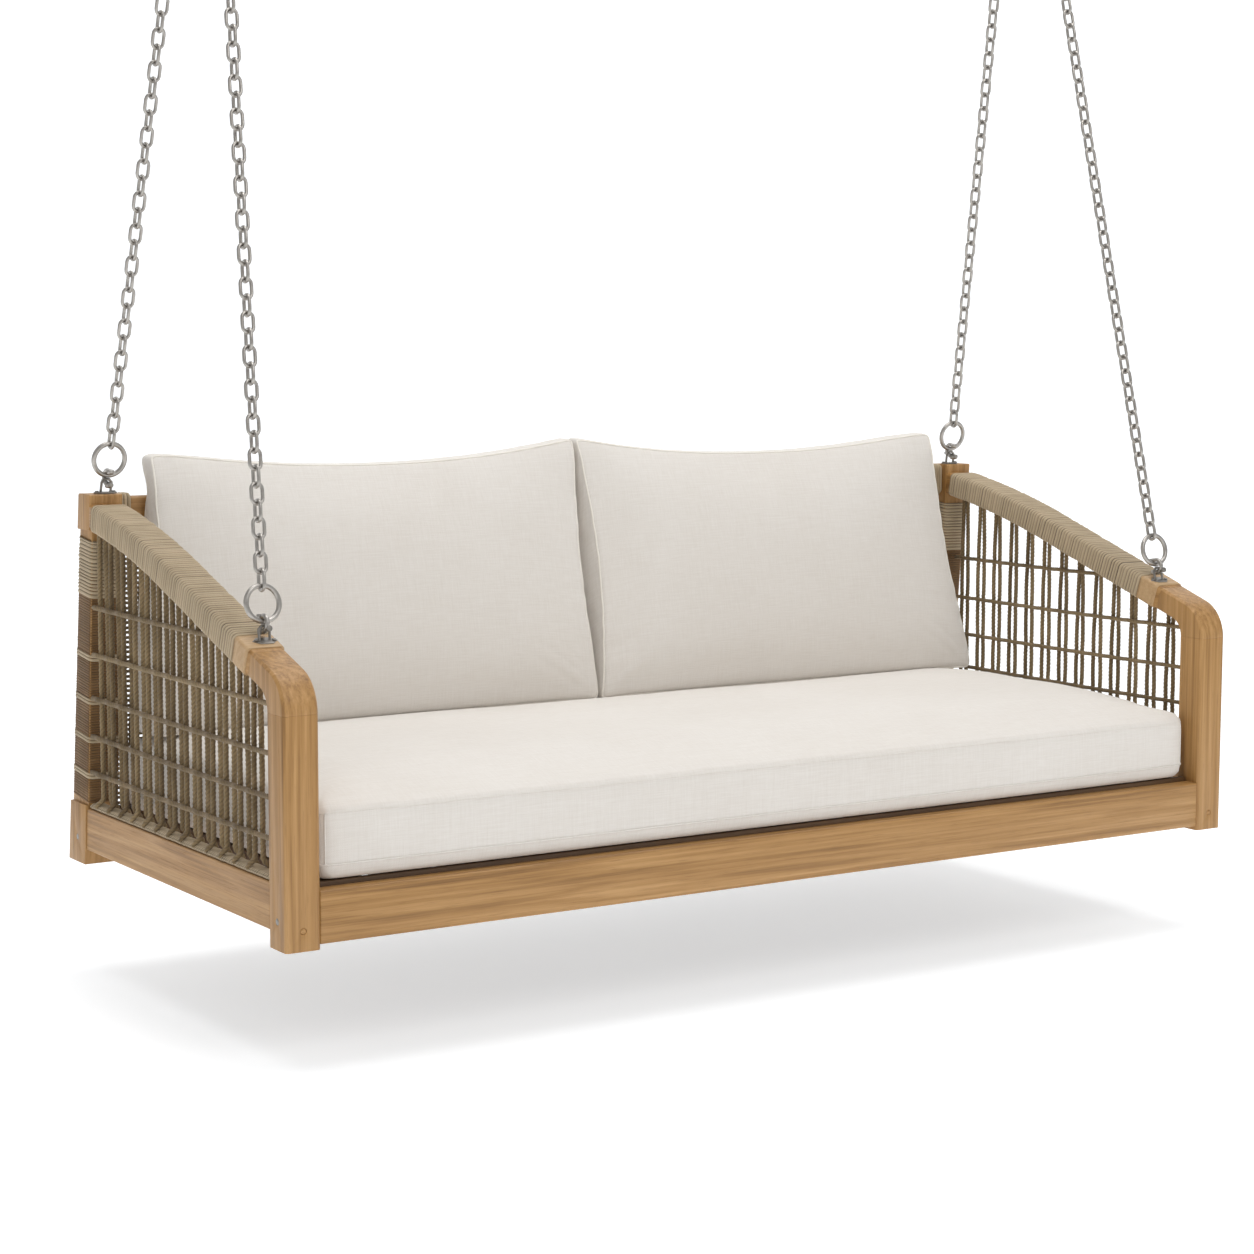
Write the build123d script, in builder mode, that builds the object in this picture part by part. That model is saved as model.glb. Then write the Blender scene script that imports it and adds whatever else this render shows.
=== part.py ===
"""Porch swing for two or three people, hung from the ceiling on four chains.

A timber seat frame has raked rear posts, arms that bend down into the front posts, rope wrapping
on the arms, rope nets at the sides and a rope back.  One box seat cushion and two back cushions
lie loose on it.  The front and rear chain of each side meet at one ring under a ceiling hanger.

Millimetres, +Z up, X to the right of someone who faces the swing, -Y towards that person.  The
origin lies on the ceiling, midway between the bolt holes of the two ceiling plates.
"""

import os
from math import cos, radians, sin, sqrt, tan

from build123d import *

# Seat frame, overall
SWING_WIDTH = 1830.0
SWING_DEPTH = 830.0
POST_WIDTH = 56.0
FRONT_POST_DEPTH = 56.0
FRONT_POST_HEIGHT = 341.0
REAR_POST_FOOT_DEPTH = 70.0
REAR_POST_TOP_DEPTH = 48.0
REAR_POST_HEIGHT = 614.0
REAR_POST_RAKE = 73.0
POST_WAIST = 5.0
POST_WAIST_BOTTOM = 100.0
POST_WAIST_TOP = 556.0
EASED_EDGE = 4.0

# Arms: straight from the bend, then a gentle curve that levels out at the rear post.
# A run is a distance behind the front face of the front posts.
ARM_SLOPE = 18.4
ARM_THICKNESS = 40.0
ARM_SWEEP_RADIUS = 1870.0
ARM_STRAIGHT_RUN = 415.0
ARM_JOINT_RUN = 104.0
BEND_RADIUS = 65.0
BEND_INSIDE_RADIUS = 32.0

# Rails, slats and the battens that carry the slats
RAIL_THICKNESS = 28.0
RAIL_SETBACK = 2.0
FRONT_RAIL_BOTTOM = 7.0
FRONT_RAIL_TOP = 85.0
SIDE_RAIL_BOTTOM = 25.0
SIDE_RAIL_TOP = 95.0
REAR_RAIL_INSET = 46.0
TOP_RAIL_BOTTOM = 562.0
TOP_RAIL_TOP = 608.0
TOP_RAIL_INSET = 18.0
BATTEN_HEIGHT = 30.0
BATTEN_LEDGE = 20.0
BATTEN_LIP = 12.0
SLAT_COUNT = 15
SLAT_WIDTH = 70.0
SLAT_THICKNESS = 18.0
SLAT_TOP = 92.0
SLAT_FIELD_MARGIN = 20.0
SLAT_END_GAP = 4.0

# Rope work
ROPE = 7.5
BACK_ROPE = 6.0
ROPE_GAP = 0.3
WRAP_THICKNESS = 3.0
WRAP_CLEARANCE = 0.2
WRAP_EDGE = 3.0
WRAP_START_RUN = 156.0
WRAP_REAR_GAP = 4.0
POST_BAND_THICKNESS = 4.0
POST_BAND_HEIGHT = 22.0
TOP_BAND_DROP = 52.0
NET_ROW_HEIGHTS = (430.0, 352.0, 280.0, 216.0, 156.0)
NET_COLUMN_COUNT = 13
NET_FIRST_RUN = 119.0
NET_REAR_GAP = 0.5
NET_PAIR_SPACING = 15.0
FOOT_ROPE_WIDTH = 25.0
FOOT_ROPE_HEIGHT = 10.0
BACK_ROW_COUNT = 38
BACK_WARP_COUNT = 24
BACK_LOOP_COUNT = 13
BACK_LOOP_WIDTH = 14.0

# Cushions
SEAT_CUSHION_FRONT_GAP = 20.0
SEAT_CUSHION_SIDE_GAP = 8.0
SEAT_CUSHION_REAR_GAP = 84.0
SEAT_CUSHION_THICKNESS = 116.0
SEAT_CUSHION_CROWN = 26.0
SEAT_CUSHION_BULGE = 9.0
SEAT_CUSHION_END_DRAW = 14.0
BACK_CUSHION_FOOT_DEPTH = 118.0
BACK_CUSHION_TOP_DEPTH = 42.0
BACK_CUSHION_HEIGHT = 462.0
BACK_CUSHION_OVERHANG = 32.0
BACK_CUSHION_SIDE_GAP = 8.0
BACK_CUSHION_LEAN_IN = 5.0
BACK_CUSHION_DIP = 36.0
BACK_CUSHION_CROWN = 26.0
BACK_CUSHION_END_DRAW = 14.0
BACK_CUSHION_MIDDLE_GAP = 6.0
CUSHION_REST_GAP = 0.4

# Eye plates, shackles and lower rings
FRONT_EYE_RUN = 132.0
REAR_EYE_SETBACK = 20.0
EYE_INSET = 7.0
EYE_PLATE_LENGTH = 40.0
EYE_PLATE_WIDTH = 20.0
EYE_PLATE_THICKNESS = 3.0
EYE_LOOP_WIRE = 4.5
EYE_LOOP_RADIUS = 8.5
EYE_SCREW_SPACING = 29.0
SCREW_SHANK = 4.0
SCREW_HEAD = 6.0
SCREW_HEAD_HEIGHT = 2.0
SCREW_LENGTH = 20.0
SCREW_CLEARANCE = 0.2
RING_STANDOFF = 57.0
LOWER_RING_RADIUS = 26.0
LOWER_RING_WIRE = 8.0
SHACKLE_WIRE = 7.0
SHACKLE_RADIUS = 12.0
SHACKLE_EYE_RADIUS = 6.0
SHACKLE_PIN = 6.0
SHACKLE_PIN_HEAD = 9.0
SHACKLE_PIN_HEAD_LENGTH = 3.0
SHACKLE_PIN_RISE = 18.5
HANG_GAP = 0.3

# Chain of welded oval links
LINK_WIRE = 5.5
LINK_WIDTH = 21.5
LINK_PITCH = 25.4

# Ceiling hangers
HOOK_X = 796.0
HOOK_RUN = 455.8
HOOK_HEIGHT = 2006.0
CEILING_PLATE_LENGTH = 124.0
CEILING_PLATE_WIDTH = 64.0
CEILING_PLATE_THICKNESS = 6.0
CEILING_BOLT_SPACING = 92.0
CEILING_BOLT_HOLE = 11.0
LUG_GAP = 26.0
LUG_THICKNESS = 6.0
LUG_RADIUS = 15.0
AXLE_DROP = 40.0
AXLE_DIAMETER = 12.0
AXLE_HEAD = 20.0
AXLE_HEAD_LENGTH = 7.0
AXLE_END = 3.0
AXLE_CLEARANCE = 0.1
HANGER_SIDE_PLAY = 0.5
HANGER_SLEEVE_RADIUS = 11.0
HANGER_EYE_DROP = 38.0
HANGER_EYE_RADIUS = 8.0
HANGER_EYE_RIM = 7.0
HANGER_THICKNESS = 10.0
TOP_RING_RADIUS = 32.0
TOP_RING_WIRE = 9.0

# Screws and plugs that show on the posts
POST_SCREW_HEAD = 10.0
POST_SCREW_DEPTH = 5.0
POST_SCREW_HEIGHT = 42.0
WOOD_PLUG = 10.0
WOOD_PLUG_DEPTH = 8.0
WOOD_PLUG_HEIGHT = 30.0

# Levels and faces that several pieces share
HOOK_Z = -AXLE_DROP - HANGER_EYE_DROP - HANGER_EYE_RADIUS + TOP_RING_WIRE / 2 + HANG_GAP
FOOT_Z = HOOK_Z - HOOK_HEIGHT
OUTER_X = SWING_WIDTH / 2
INNER_X = OUTER_X - POST_WIDTH
ARM_X = OUTER_X - POST_WIDTH / 2
FRONT_Y = -HOOK_RUN
REAR_Y = FRONT_Y + SWING_DEPTH
FRONT_POST_REAR_Y = FRONT_Y + FRONT_POST_DEPTH
ARM_STRAIGHT_REAR_Y = FRONT_Y + ARM_STRAIGHT_RUN
ARM_JOINT_Y = FRONT_Y + ARM_JOINT_RUN
WRAP_FRONT_Y = FRONT_Y + WRAP_START_RUN
FRONT_EYE_Y = FRONT_Y + FRONT_EYE_RUN
SLOPE = radians(ARM_SLOPE)
BEND_CENTRE_Y = FRONT_Y + BEND_RADIUS
STRAIGHT_REAR_HEIGHT = (
    FRONT_POST_HEIGHT
    + BEND_RADIUS * cos(SLOPE)
    + tan(SLOPE) * (ARM_STRAIGHT_REAR_Y - BEND_CENTRE_Y + BEND_RADIUS * sin(SLOPE))
)
SWEEP_CENTRE_Y = ARM_STRAIGHT_REAR_Y + ARM_SWEEP_RADIUS * sin(SLOPE)
SWEEP_CENTRE_HEIGHT = STRAIGHT_REAR_HEIGHT - ARM_SWEEP_RADIUS * cos(SLOPE)
WRAPPED_THICKNESS = ARM_THICKNESS + WRAP_THICKNESS


def up(height):
    """Give the Z of a height above the feet of the posts."""
    return FOOT_Z + height


def post_front(height):
    """Give the Y of the raked rear post's front face at a height."""
    foot = REAR_Y - REAR_POST_FOOT_DEPTH
    top = REAR_Y - REAR_POST_RAKE - REAR_POST_TOP_DEPTH
    return foot + (top - foot) * height / REAR_POST_HEIGHT


def post_rear(height):
    """Give the Y of the raked rear post's rear face at a height."""
    return REAR_Y - REAR_POST_RAKE * height / REAR_POST_HEIGHT


def arm_height(y, drop=0.0):
    """Give the height of the line that runs a distance under the arm's top face."""
    on_sweep_y = ARM_STRAIGHT_REAR_Y + drop * sin(SLOPE)
    if y <= on_sweep_y:
        return STRAIGHT_REAR_HEIGHT + tan(SLOPE) * (y - ARM_STRAIGHT_REAR_Y) - drop / cos(SLOPE)
    return SWEEP_CENTRE_HEIGHT + sqrt((ARM_SWEEP_RADIUS - drop) ** 2 - (y - SWEEP_CENTRE_Y) ** 2)


def arm_point(y, drop=0.0):
    """Give a (Y, Z) point on that line."""
    return (y, up(arm_height(y, drop)))


def square_off(y, drop):
    """Give the (Y, Z) point a distance under the arm's straight top face, square to it."""
    return (y + drop * sin(SLOPE), up(arm_height(y)) - drop * cos(SLOPE))


def arm_meets_post(drop, gap=0.0):
    """Give the Y where the line under the arm's top face meets the rear post's front face."""
    y = post_front(REAR_POST_HEIGHT)
    for _ in range(30):
        y = post_front(arm_height(y, drop)) - gap
    return y


def arm_outline(front_y, over, under, gap=0.0):
    """Make the side view of the arm, or of the wrap over it, as a sketch of Y and Z."""
    top_front = square_off(front_y, -over)
    foot_front = square_off(front_y, under)
    top_sweep = square_off(ARM_STRAIGHT_REAR_Y, -over)
    foot_sweep = square_off(ARM_STRAIGHT_REAR_Y, under)
    top_rear_y = arm_meets_post(-over, gap)
    foot_rear_y = arm_meets_post(under, gap)
    top_middle = arm_point((top_sweep[0] + top_rear_y) / 2, -over)
    foot_middle = arm_point((foot_sweep[0] + foot_rear_y) / 2, under)
    with BuildSketch() as outline:
        with BuildLine():
            Line(top_front, top_sweep)
            ThreePointArc(top_sweep, top_middle, arm_point(top_rear_y, -over))
            Line(arm_point(top_rear_y, -over), arm_point(foot_rear_y, under))
            ThreePointArc(arm_point(foot_rear_y, under), foot_middle, foot_sweep)
            Line(foot_sweep, foot_front)
            Line(foot_front, top_front)
        make_face()
    return outline.sketch


def long_edges(piece):
    """Give the edges of a piece's left and right faces that are not part of its front or rear end."""
    sides = piece.faces().sort_by(Axis.X)
    ends = piece.faces().sort_by(Axis.Y)
    end_edges = ends[0].edges() + ends[-1].edges()
    return [
        edge
        for edge in sides[0].edges() + sides[-1].edges()
        if not any(edge.is_same(end) for end in end_edges)
    ]


def bend_inside(height):
    """Give the Y where the inside of the arm bend, or the post under it, faces the net."""
    corner_height = arm_height(FRONT_POST_REAR_Y, ARM_THICKNESS)
    rise = height - corner_height + BEND_INSIDE_RADIUS * tan((radians(90) - SLOPE) / 2)
    rise = min(max(rise, 0), BEND_INSIDE_RADIUS)
    return FRONT_POST_REAR_Y + BEND_INSIDE_RADIUS - sqrt(BEND_INSIDE_RADIUS**2 - rise**2)


def post_corners(bottom, top, grow=0.0):
    """Give the (Y, Z) corners of the rear post's side view between two heights."""
    return (
        (post_front(bottom) - grow, up(bottom)),
        (post_rear(bottom) + grow, up(bottom)),
        (post_rear(top) + grow, up(top)),
        (post_front(top) - grow, up(top)),
    )


def bent_wire(points, wire, plane, closed=False):
    """Sweep a six-sided wire along straight runs with mitred corners."""
    with BuildPart() as rod:
        with BuildLine(plane) as route:
            Polyline(*points, close=closed)
        path = route.wire()
        with BuildSketch(Plane(origin=path @ 0, x_dir=(path % 0).cross(plane.z_dir), z_dir=path % 0)):
            RegularPolygon(wire / 2, 6)
        sweep(path=path, transition=Transition.RIGHT)
    return rod.part


def half_circle(radius, level, flats):
    """Give the corners of straight flats drawn round the upper half of a circle."""
    step = 180 / flats
    reach = radius / cos(radians(step / 2))
    turns = [radians(step * (k + 0.5)) for k in range(flats)]
    return [(reach * cos(turn), level + reach * sin(turn)) for turn in turns]


def ring_of_wire(radius, wire, plane, sides=16):
    """Make a closed ring of wire, drawn round its mean circle."""
    corner = radius / cos(radians(180 / sides))
    turn = 360 / sides
    turns = [radians(turn * (k + 0.5)) for k in range(sides)]
    corners = [(corner * cos(angle), corner * sin(angle)) for angle in turns]
    start = ((corners[0][0] + corners[-1][0]) / 2, (corners[0][1] + corners[-1][1]) / 2)
    return bent_wire([start, *corners], wire, plane, closed=True)


def chain_link(inside_length):
    """Make one oval link, long along Z and wide along X, from a four-sided wire."""
    side = (LINK_WIDTH - LINK_WIRE) / 2
    end = (inside_length + LINK_WIRE) / 2
    nip = side * tan(radians(22.5))
    shoulder = end - side + nip
    with BuildPart() as link:
        with BuildLine(Plane.XZ) as route:
            Polyline(
                (side, 0),
                (side, shoulder),
                (nip, end),
                (-nip, end),
                (-side, shoulder),
                (-side, -shoulder),
                (-nip, -end),
                (nip, -end),
                (side, -shoulder),
                close=True,
            )
        with BuildSketch(Plane.XY):
            with Locations((side, 0)):
                RegularPolygon(LINK_WIRE / 2, 4)
        sweep(path=route.wire(), transition=Transition.RIGHT)
    return link.part


def chain_between(corner, apex):
    """Hang links from the top ring down to a lower ring, each a quarter turn from the next."""
    lower_inside = LOWER_RING_RADIUS - LOWER_RING_WIRE / 2
    upper_inside = TOP_RING_RADIUS - TOP_RING_WIRE / 2
    run = (apex - corner.origin).length - lower_inside - upper_inside + HANG_GAP
    count = 2 * round(run / LINK_PITCH / 2)
    pitch = run / count
    inside_length = pitch + HANG_GAP
    first = lower_inside - HANG_GAP + inside_length / 2
    spots = [
        corner.location * Location((0, 0, first + pitch * k), (0, 0, 90 * ((k + 1) % 2)))
        for k in range(count)
    ]
    link = chain_link(inside_length)
    with BuildPart() as chain:
        with Locations(*spots):
            add(link)
    print(f"chain of {count} links, pitch {pitch:.2f} mm, {len(chain.part.solids())} solids")
    return chain.part


# Seats of the left eye plates on the arm and on the rear post
front_seat = Plane(
    origin=(-ARM_X + EYE_INSET, FRONT_EYE_Y, up(arm_height(FRONT_EYE_Y))),
    x_dir=(1, 0, 0),
    z_dir=(0, -sin(SLOPE), cos(SLOPE)),
)
rear_seat = Plane(
    origin=(-ARM_X + EYE_INSET, post_front(REAR_POST_HEIGHT) + REAR_EYE_SETBACK, up(REAR_POST_HEIGHT)),
    x_dir=(1, 0, 0),
    z_dir=(0, 0, 1),
)
seats = (front_seat, rear_seat)

# Both left chains and their rings hang in one plane, which leans in to the hook
hook = Vector(-HOOK_X, 0, HOOK_Z)
seat_line = rear_seat.origin - front_seat.origin
under_hook = front_seat.origin - seat_line * (front_seat.origin.Y / seat_line.Y)
hang_line = (hook - under_hook).normalized()
hang_normal = seat_line.cross(hang_line).normalized()
apex = hook - hang_line * TOP_RING_RADIUS
front_pull = (apex - front_seat.origin).normalized()
rear_pull = (apex - rear_seat.origin).normalized()
front_corner = Plane(
    origin=front_seat.origin + front_pull * RING_STANDOFF, x_dir=hang_normal, z_dir=front_pull
)
rear_corner = Plane(
    origin=rear_seat.origin + rear_pull * RING_STANDOFF, x_dir=hang_normal, z_dir=rear_pull
)
corners = (front_corner, rear_corner)
screw_spots = GridLocations(EYE_SCREW_SPACING, 0, 2, 1).locations

# Timber of the left side
post_screw_y = FRONT_Y + FRONT_POST_DEPTH / 2
rear_screw_y = (post_front(POST_SCREW_HEIGHT) + post_rear(POST_SCREW_HEIGHT)) / 2
front_screw_plane = Plane(
    origin=(-OUTER_X, post_screw_y, up(POST_SCREW_HEIGHT)), x_dir=(0, 1, 0), z_dir=(1, 0, 0)
)
rear_screw_plane = Plane(
    origin=(-OUTER_X, rear_screw_y, up(POST_SCREW_HEIGHT)), x_dir=(0, 1, 0), z_dir=(1, 0, 0)
)
plug_plane = Plane(origin=(-ARM_X, FRONT_Y, up(WOOD_PLUG_HEIGHT)), x_dir=(1, 0, 0), z_dir=(0, 1, 0))

with BuildPart() as left_front_post:
    with BuildSketch(Plane((-ARM_X, FRONT_Y + FRONT_POST_DEPTH / 2, up(0)))):
        Rectangle(POST_WIDTH, FRONT_POST_DEPTH)
    extrude(amount=FRONT_POST_HEIGHT)
    chamfer(left_front_post.edges().filter_by(Axis.Z), EASED_EDGE)
    with BuildSketch(front_screw_plane):
        Circle(POST_SCREW_HEAD / 2 + SCREW_CLEARANCE)
    extrude(amount=POST_SCREW_DEPTH, mode=Mode.SUBTRACT)
    with BuildSketch(plug_plane):
        Circle(WOOD_PLUG / 2)
    extrude(amount=WOOD_PLUG_DEPTH, mode=Mode.SUBTRACT)

with BuildPart() as left_rear_post:
    with BuildSketch(Plane.YZ.offset(-OUTER_X)):
        Polygon(*post_corners(0, REAR_POST_HEIGHT), align=None)
    extrude(amount=POST_WIDTH)
    chamfer(left_rear_post.edges().filter_by(Axis.X).group_by(Axis.Z)[-1], EASED_EDGE / 2)
    with BuildSketch(Plane.YZ.offset(-OUTER_X)):
        Polygon(*post_corners(POST_WAIST_BOTTOM, POST_WAIST_TOP, POST_WAIST), align=None)
    extrude(amount=POST_WAIST, mode=Mode.SUBTRACT)
    with BuildSketch(rear_screw_plane):
        Circle(POST_SCREW_HEAD / 2 + SCREW_CLEARANCE)
    extrude(amount=POST_SCREW_DEPTH, mode=Mode.SUBTRACT)
    with BuildSketch(rear_seat):
        with Locations(*screw_spots):
            Circle(SCREW_SHANK / 2 + SCREW_CLEARANCE)
    extrude(amount=-SCREW_LENGTH, mode=Mode.SUBTRACT)

with BuildPart() as left_arm_bend:
    bend_start = (FRONT_Y, up(FRONT_POST_HEIGHT))
    bend_end = (
        BEND_CENTRE_Y - BEND_RADIUS * sin(SLOPE),
        up(FRONT_POST_HEIGHT + BEND_RADIUS * cos(SLOPE)),
    )
    bend_mid = (
        BEND_CENTRE_Y - BEND_RADIUS * cos((radians(90) - SLOPE) / 2),
        up(FRONT_POST_HEIGHT + BEND_RADIUS * sin((radians(90) - SLOPE) / 2)),
    )
    inside_corner = (FRONT_POST_REAR_Y, up(arm_height(FRONT_POST_REAR_Y, ARM_THICKNESS)))
    with BuildSketch(Plane.YZ.offset(-OUTER_X)) as bend_sketch:
        with BuildLine():
            ThreePointArc(bend_start, bend_mid, bend_end)
            Line(bend_end, arm_point(ARM_JOINT_Y))
            Line(arm_point(ARM_JOINT_Y), square_off(ARM_JOINT_Y, ARM_THICKNESS))
            Line(square_off(ARM_JOINT_Y, ARM_THICKNESS), inside_corner)
            Line(inside_corner, (FRONT_POST_REAR_Y, up(FRONT_POST_HEIGHT)))
            Line((FRONT_POST_REAR_Y, up(FRONT_POST_HEIGHT)), bend_start)
        make_face()
        fillet(bend_sketch.vertices().sort_by_distance((*inside_corner, 0))[0], BEND_INSIDE_RADIUS)
    extrude(amount=POST_WIDTH)
    bend_sides = left_arm_bend.faces().sort_by(Axis.X)
    joint_edges = (
        left_arm_bend.faces().sort_by(Axis.Z)[0].edges() + left_arm_bend.faces().sort_by(Axis.Y)[-1].edges()
    )
    side_edges = [
        edge
        for edge in bend_sides[0].edges() + bend_sides[-1].edges()
        if not any(edge.is_same(joint) for joint in joint_edges)
    ]
    chamfer(side_edges, EASED_EDGE)

arm_side = arm_outline(ARM_JOINT_Y, 0, ARM_THICKNESS)
with BuildPart() as left_arm:
    with BuildSketch(Plane.YZ.offset(-OUTER_X)):
        add(arm_side)
    extrude(amount=POST_WIDTH)
    chamfer(long_edges(left_arm), EASED_EDGE)
    with BuildSketch(front_seat):
        with Locations(*screw_spots):
            Circle(SCREW_SHANK / 2 + SCREW_CLEARANCE)
    extrude(amount=-SCREW_LENGTH, mode=Mode.SUBTRACT)

side_rail_x = -OUTER_X + RAIL_SETBACK
with BuildPart() as left_side_rail:
    with BuildSketch(Plane.YZ.offset(side_rail_x)):
        Polygon(
            (FRONT_POST_REAR_Y, up(SIDE_RAIL_BOTTOM)),
            (post_front(SIDE_RAIL_BOTTOM), up(SIDE_RAIL_BOTTOM)),
            (post_front(SIDE_RAIL_TOP), up(SIDE_RAIL_TOP)),
            (FRONT_POST_REAR_Y, up(SIDE_RAIL_TOP)),
            align=None,
        )
    extrude(amount=RAIL_THICKNESS)

# Rails, battens and slats that run across the seat
front_rail_y = FRONT_Y + RAIL_SETBACK
rear_rail_y = post_rear(FRONT_RAIL_TOP) - REAR_RAIL_INSET
top_rail_y = post_front(TOP_RAIL_TOP) + TOP_RAIL_INSET
batten_top = SLAT_TOP - SLAT_THICKNESS
across = 2 * INNER_X

with BuildPart() as front_rail:
    with BuildSketch(Plane.YZ.offset(-INNER_X)):
        with Locations((front_rail_y, up(FRONT_RAIL_BOTTOM))):
            Rectangle(RAIL_THICKNESS, FRONT_RAIL_TOP - FRONT_RAIL_BOTTOM, align=Align.MIN)
    extrude(amount=across)
    chamfer(front_rail.edges().filter_by(Axis.X).sort_by(Axis.Y)[:2], EASED_EDGE / 2)

with BuildPart() as rear_rail:
    with BuildSketch(Plane.YZ.offset(-INNER_X)):
        with Locations((rear_rail_y, up(FRONT_RAIL_BOTTOM))):
            Rectangle(RAIL_THICKNESS, FRONT_RAIL_TOP - FRONT_RAIL_BOTTOM, align=Align.MIN)
    extrude(amount=across)

with BuildPart() as top_back_rail:
    with BuildSketch(Plane.YZ.offset(-INNER_X)):
        with Locations((top_rail_y, up(TOP_RAIL_BOTTOM))):
            Rectangle(RAIL_THICKNESS, TOP_RAIL_TOP - TOP_RAIL_BOTTOM, align=Align.MIN)
    extrude(amount=across)
    chamfer(top_back_rail.edges().filter_by(Axis.X).group_by(Axis.Z)[-1], EASED_EDGE)

front_batten_y = front_rail_y + RAIL_THICKNESS
batten_sides = []
for face_y, inward in ((front_batten_y, 1), (rear_rail_y, -1)):
    batten_sides.append(
        (
            (face_y, up(batten_top - BATTEN_HEIGHT)),
            (face_y + inward * (BATTEN_LIP + BATTEN_LEDGE), up(batten_top - BATTEN_HEIGHT)),
            (face_y + inward * (BATTEN_LIP + BATTEN_LEDGE), up(batten_top)),
            (face_y + inward * BATTEN_LIP, up(batten_top)),
            (face_y + inward * BATTEN_LIP, up(SLAT_TOP)),
            (face_y, up(SLAT_TOP)),
        )
    )

with BuildPart() as front_batten:
    with BuildSketch(Plane.YZ.offset(-INNER_X)):
        Polygon(*batten_sides[0], align=None)
    extrude(amount=across)

with BuildPart() as rear_batten:
    with BuildSketch(Plane.YZ.offset(-INNER_X)):
        Polygon(*batten_sides[1], align=None)
    extrude(amount=across)

slat_front_y = front_batten_y + BATTEN_LIP + SLAT_END_GAP
slat_rear_y = rear_rail_y - BATTEN_LIP - SLAT_END_GAP
slat_field = across - 2 * SLAT_FIELD_MARGIN - SLAT_WIDTH
with BuildPart() as seat_slats:
    with BuildSketch(Plane((0, (slat_front_y + slat_rear_y) / 2, up(batten_top)))):
        with GridLocations(slat_field / (SLAT_COUNT - 1), 0, SLAT_COUNT, 1):
            Rectangle(SLAT_WIDTH, slat_rear_y - slat_front_y)
    extrude(amount=SLAT_THICKNESS)

# Rope wrapping of the left arm and rear post
wrap_width = POST_WIDTH + 2 * WRAP_THICKNESS
wrap_side = arm_outline(WRAP_FRONT_Y, WRAP_THICKNESS, WRAPPED_THICKNESS, WRAP_REAR_GAP)
wrapped_side = arm_outline(ARM_JOINT_Y, WRAP_CLEARANCE, ARM_THICKNESS + WRAP_CLEARANCE)
with BuildPart() as left_arm_wrap:
    with BuildSketch(Plane.YZ.offset(-ARM_X - wrap_width / 2)):
        add(wrap_side)
    extrude(amount=wrap_width)
    chamfer(long_edges(left_arm_wrap), WRAP_EDGE)
    with BuildSketch(Plane.YZ.offset(-OUTER_X - WRAP_CLEARANCE)):
        add(wrapped_side)
    extrude(amount=POST_WIDTH + 2 * WRAP_CLEARANCE, mode=Mode.SUBTRACT)

top_band_top = arm_height(arm_meets_post(WRAPPED_THICKNESS, POST_BAND_THICKNESS), WRAPPED_THICKNESS)
top_band_top -= POST_BAND_THICKNESS
bands = [(top_band_top - TOP_BAND_DROP, top_band_top)]
bands += [(row - POST_BAND_HEIGHT / 2, row + POST_BAND_HEIGHT / 2) for row in NET_ROW_HEIGHTS]
waist_x = -OUTER_X + POST_WAIST
waist_width = POST_WIDTH - POST_WAIST
with BuildPart() as left_post_bands:
    for bottom, top in bands:
        with BuildSketch(Plane.YZ.offset(waist_x - POST_BAND_THICKNESS)):
            Polygon(*post_corners(bottom, top, POST_BAND_THICKNESS), align=None)
        extrude(amount=waist_width + 2 * POST_BAND_THICKNESS)
    with BuildSketch(Plane.YZ.offset(waist_x - WRAP_CLEARANCE)):
        Polygon(*post_corners(0, REAR_POST_HEIGHT, WRAP_CLEARANCE), align=None)
    extrude(amount=waist_width + 2 * WRAP_CLEARANCE, mode=Mode.SUBTRACT)

# Left side net: rows in the middle, one rope of each upright pair on either side of them
net_x = side_rail_x + RAIL_THICKNESS / 2
foot_rope_top = SIDE_RAIL_TOP + FOOT_ROPE_HEIGHT
net_bottom = up(foot_rope_top) + ROPE_GAP
with BuildPart() as left_foot_rope:
    foot_rope_rear_y = post_front(foot_rope_top) - ROPE_GAP
    foot_rope_length = foot_rope_rear_y - FRONT_POST_REAR_Y - ROPE_GAP
    with BuildSketch(Plane((net_x, FRONT_POST_REAR_Y + ROPE_GAP, up(SIDE_RAIL_TOP)))):
        Rectangle(FOOT_ROPE_WIDTH, foot_rope_length, align=(Align.CENTER, Align.MIN))
    extrude(amount=FOOT_ROPE_HEIGHT)
    chamfer(left_foot_rope.edges().filter_by(Axis.Y).group_by(Axis.Z)[-1], FOOT_ROPE_HEIGHT / 3)

net_first_y = FRONT_Y + NET_FIRST_RUN
net_last_y = arm_meets_post(WRAPPED_THICKNESS, POST_BAND_THICKNESS + NET_REAR_GAP)
net_last_y -= (NET_PAIR_SPACING + ROPE) / 2
net_pitch = (net_last_y - net_first_y) / (NET_COLUMN_COUNT - 1)
with BuildPart() as left_net_uprights:
    for column in range(NET_COLUMN_COUNT):
        for side in (-1, 1):
            rope_x = net_x + side * (ROPE + ROPE_GAP)
            rope_y = net_first_y + column * net_pitch + side * NET_PAIR_SPACING / 2
            drop = WRAPPED_THICKNESS if rope_y - ROPE > WRAP_FRONT_Y else ARM_THICKNESS
            rope_top = up(arm_height(rope_y - ROPE / 2, drop)) - ROPE_GAP
            with BuildSketch(Plane((rope_x, rope_y, net_bottom))):
                RegularPolygon(ROPE / 2, 6)
            extrude(amount=rope_top - net_bottom)

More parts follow.
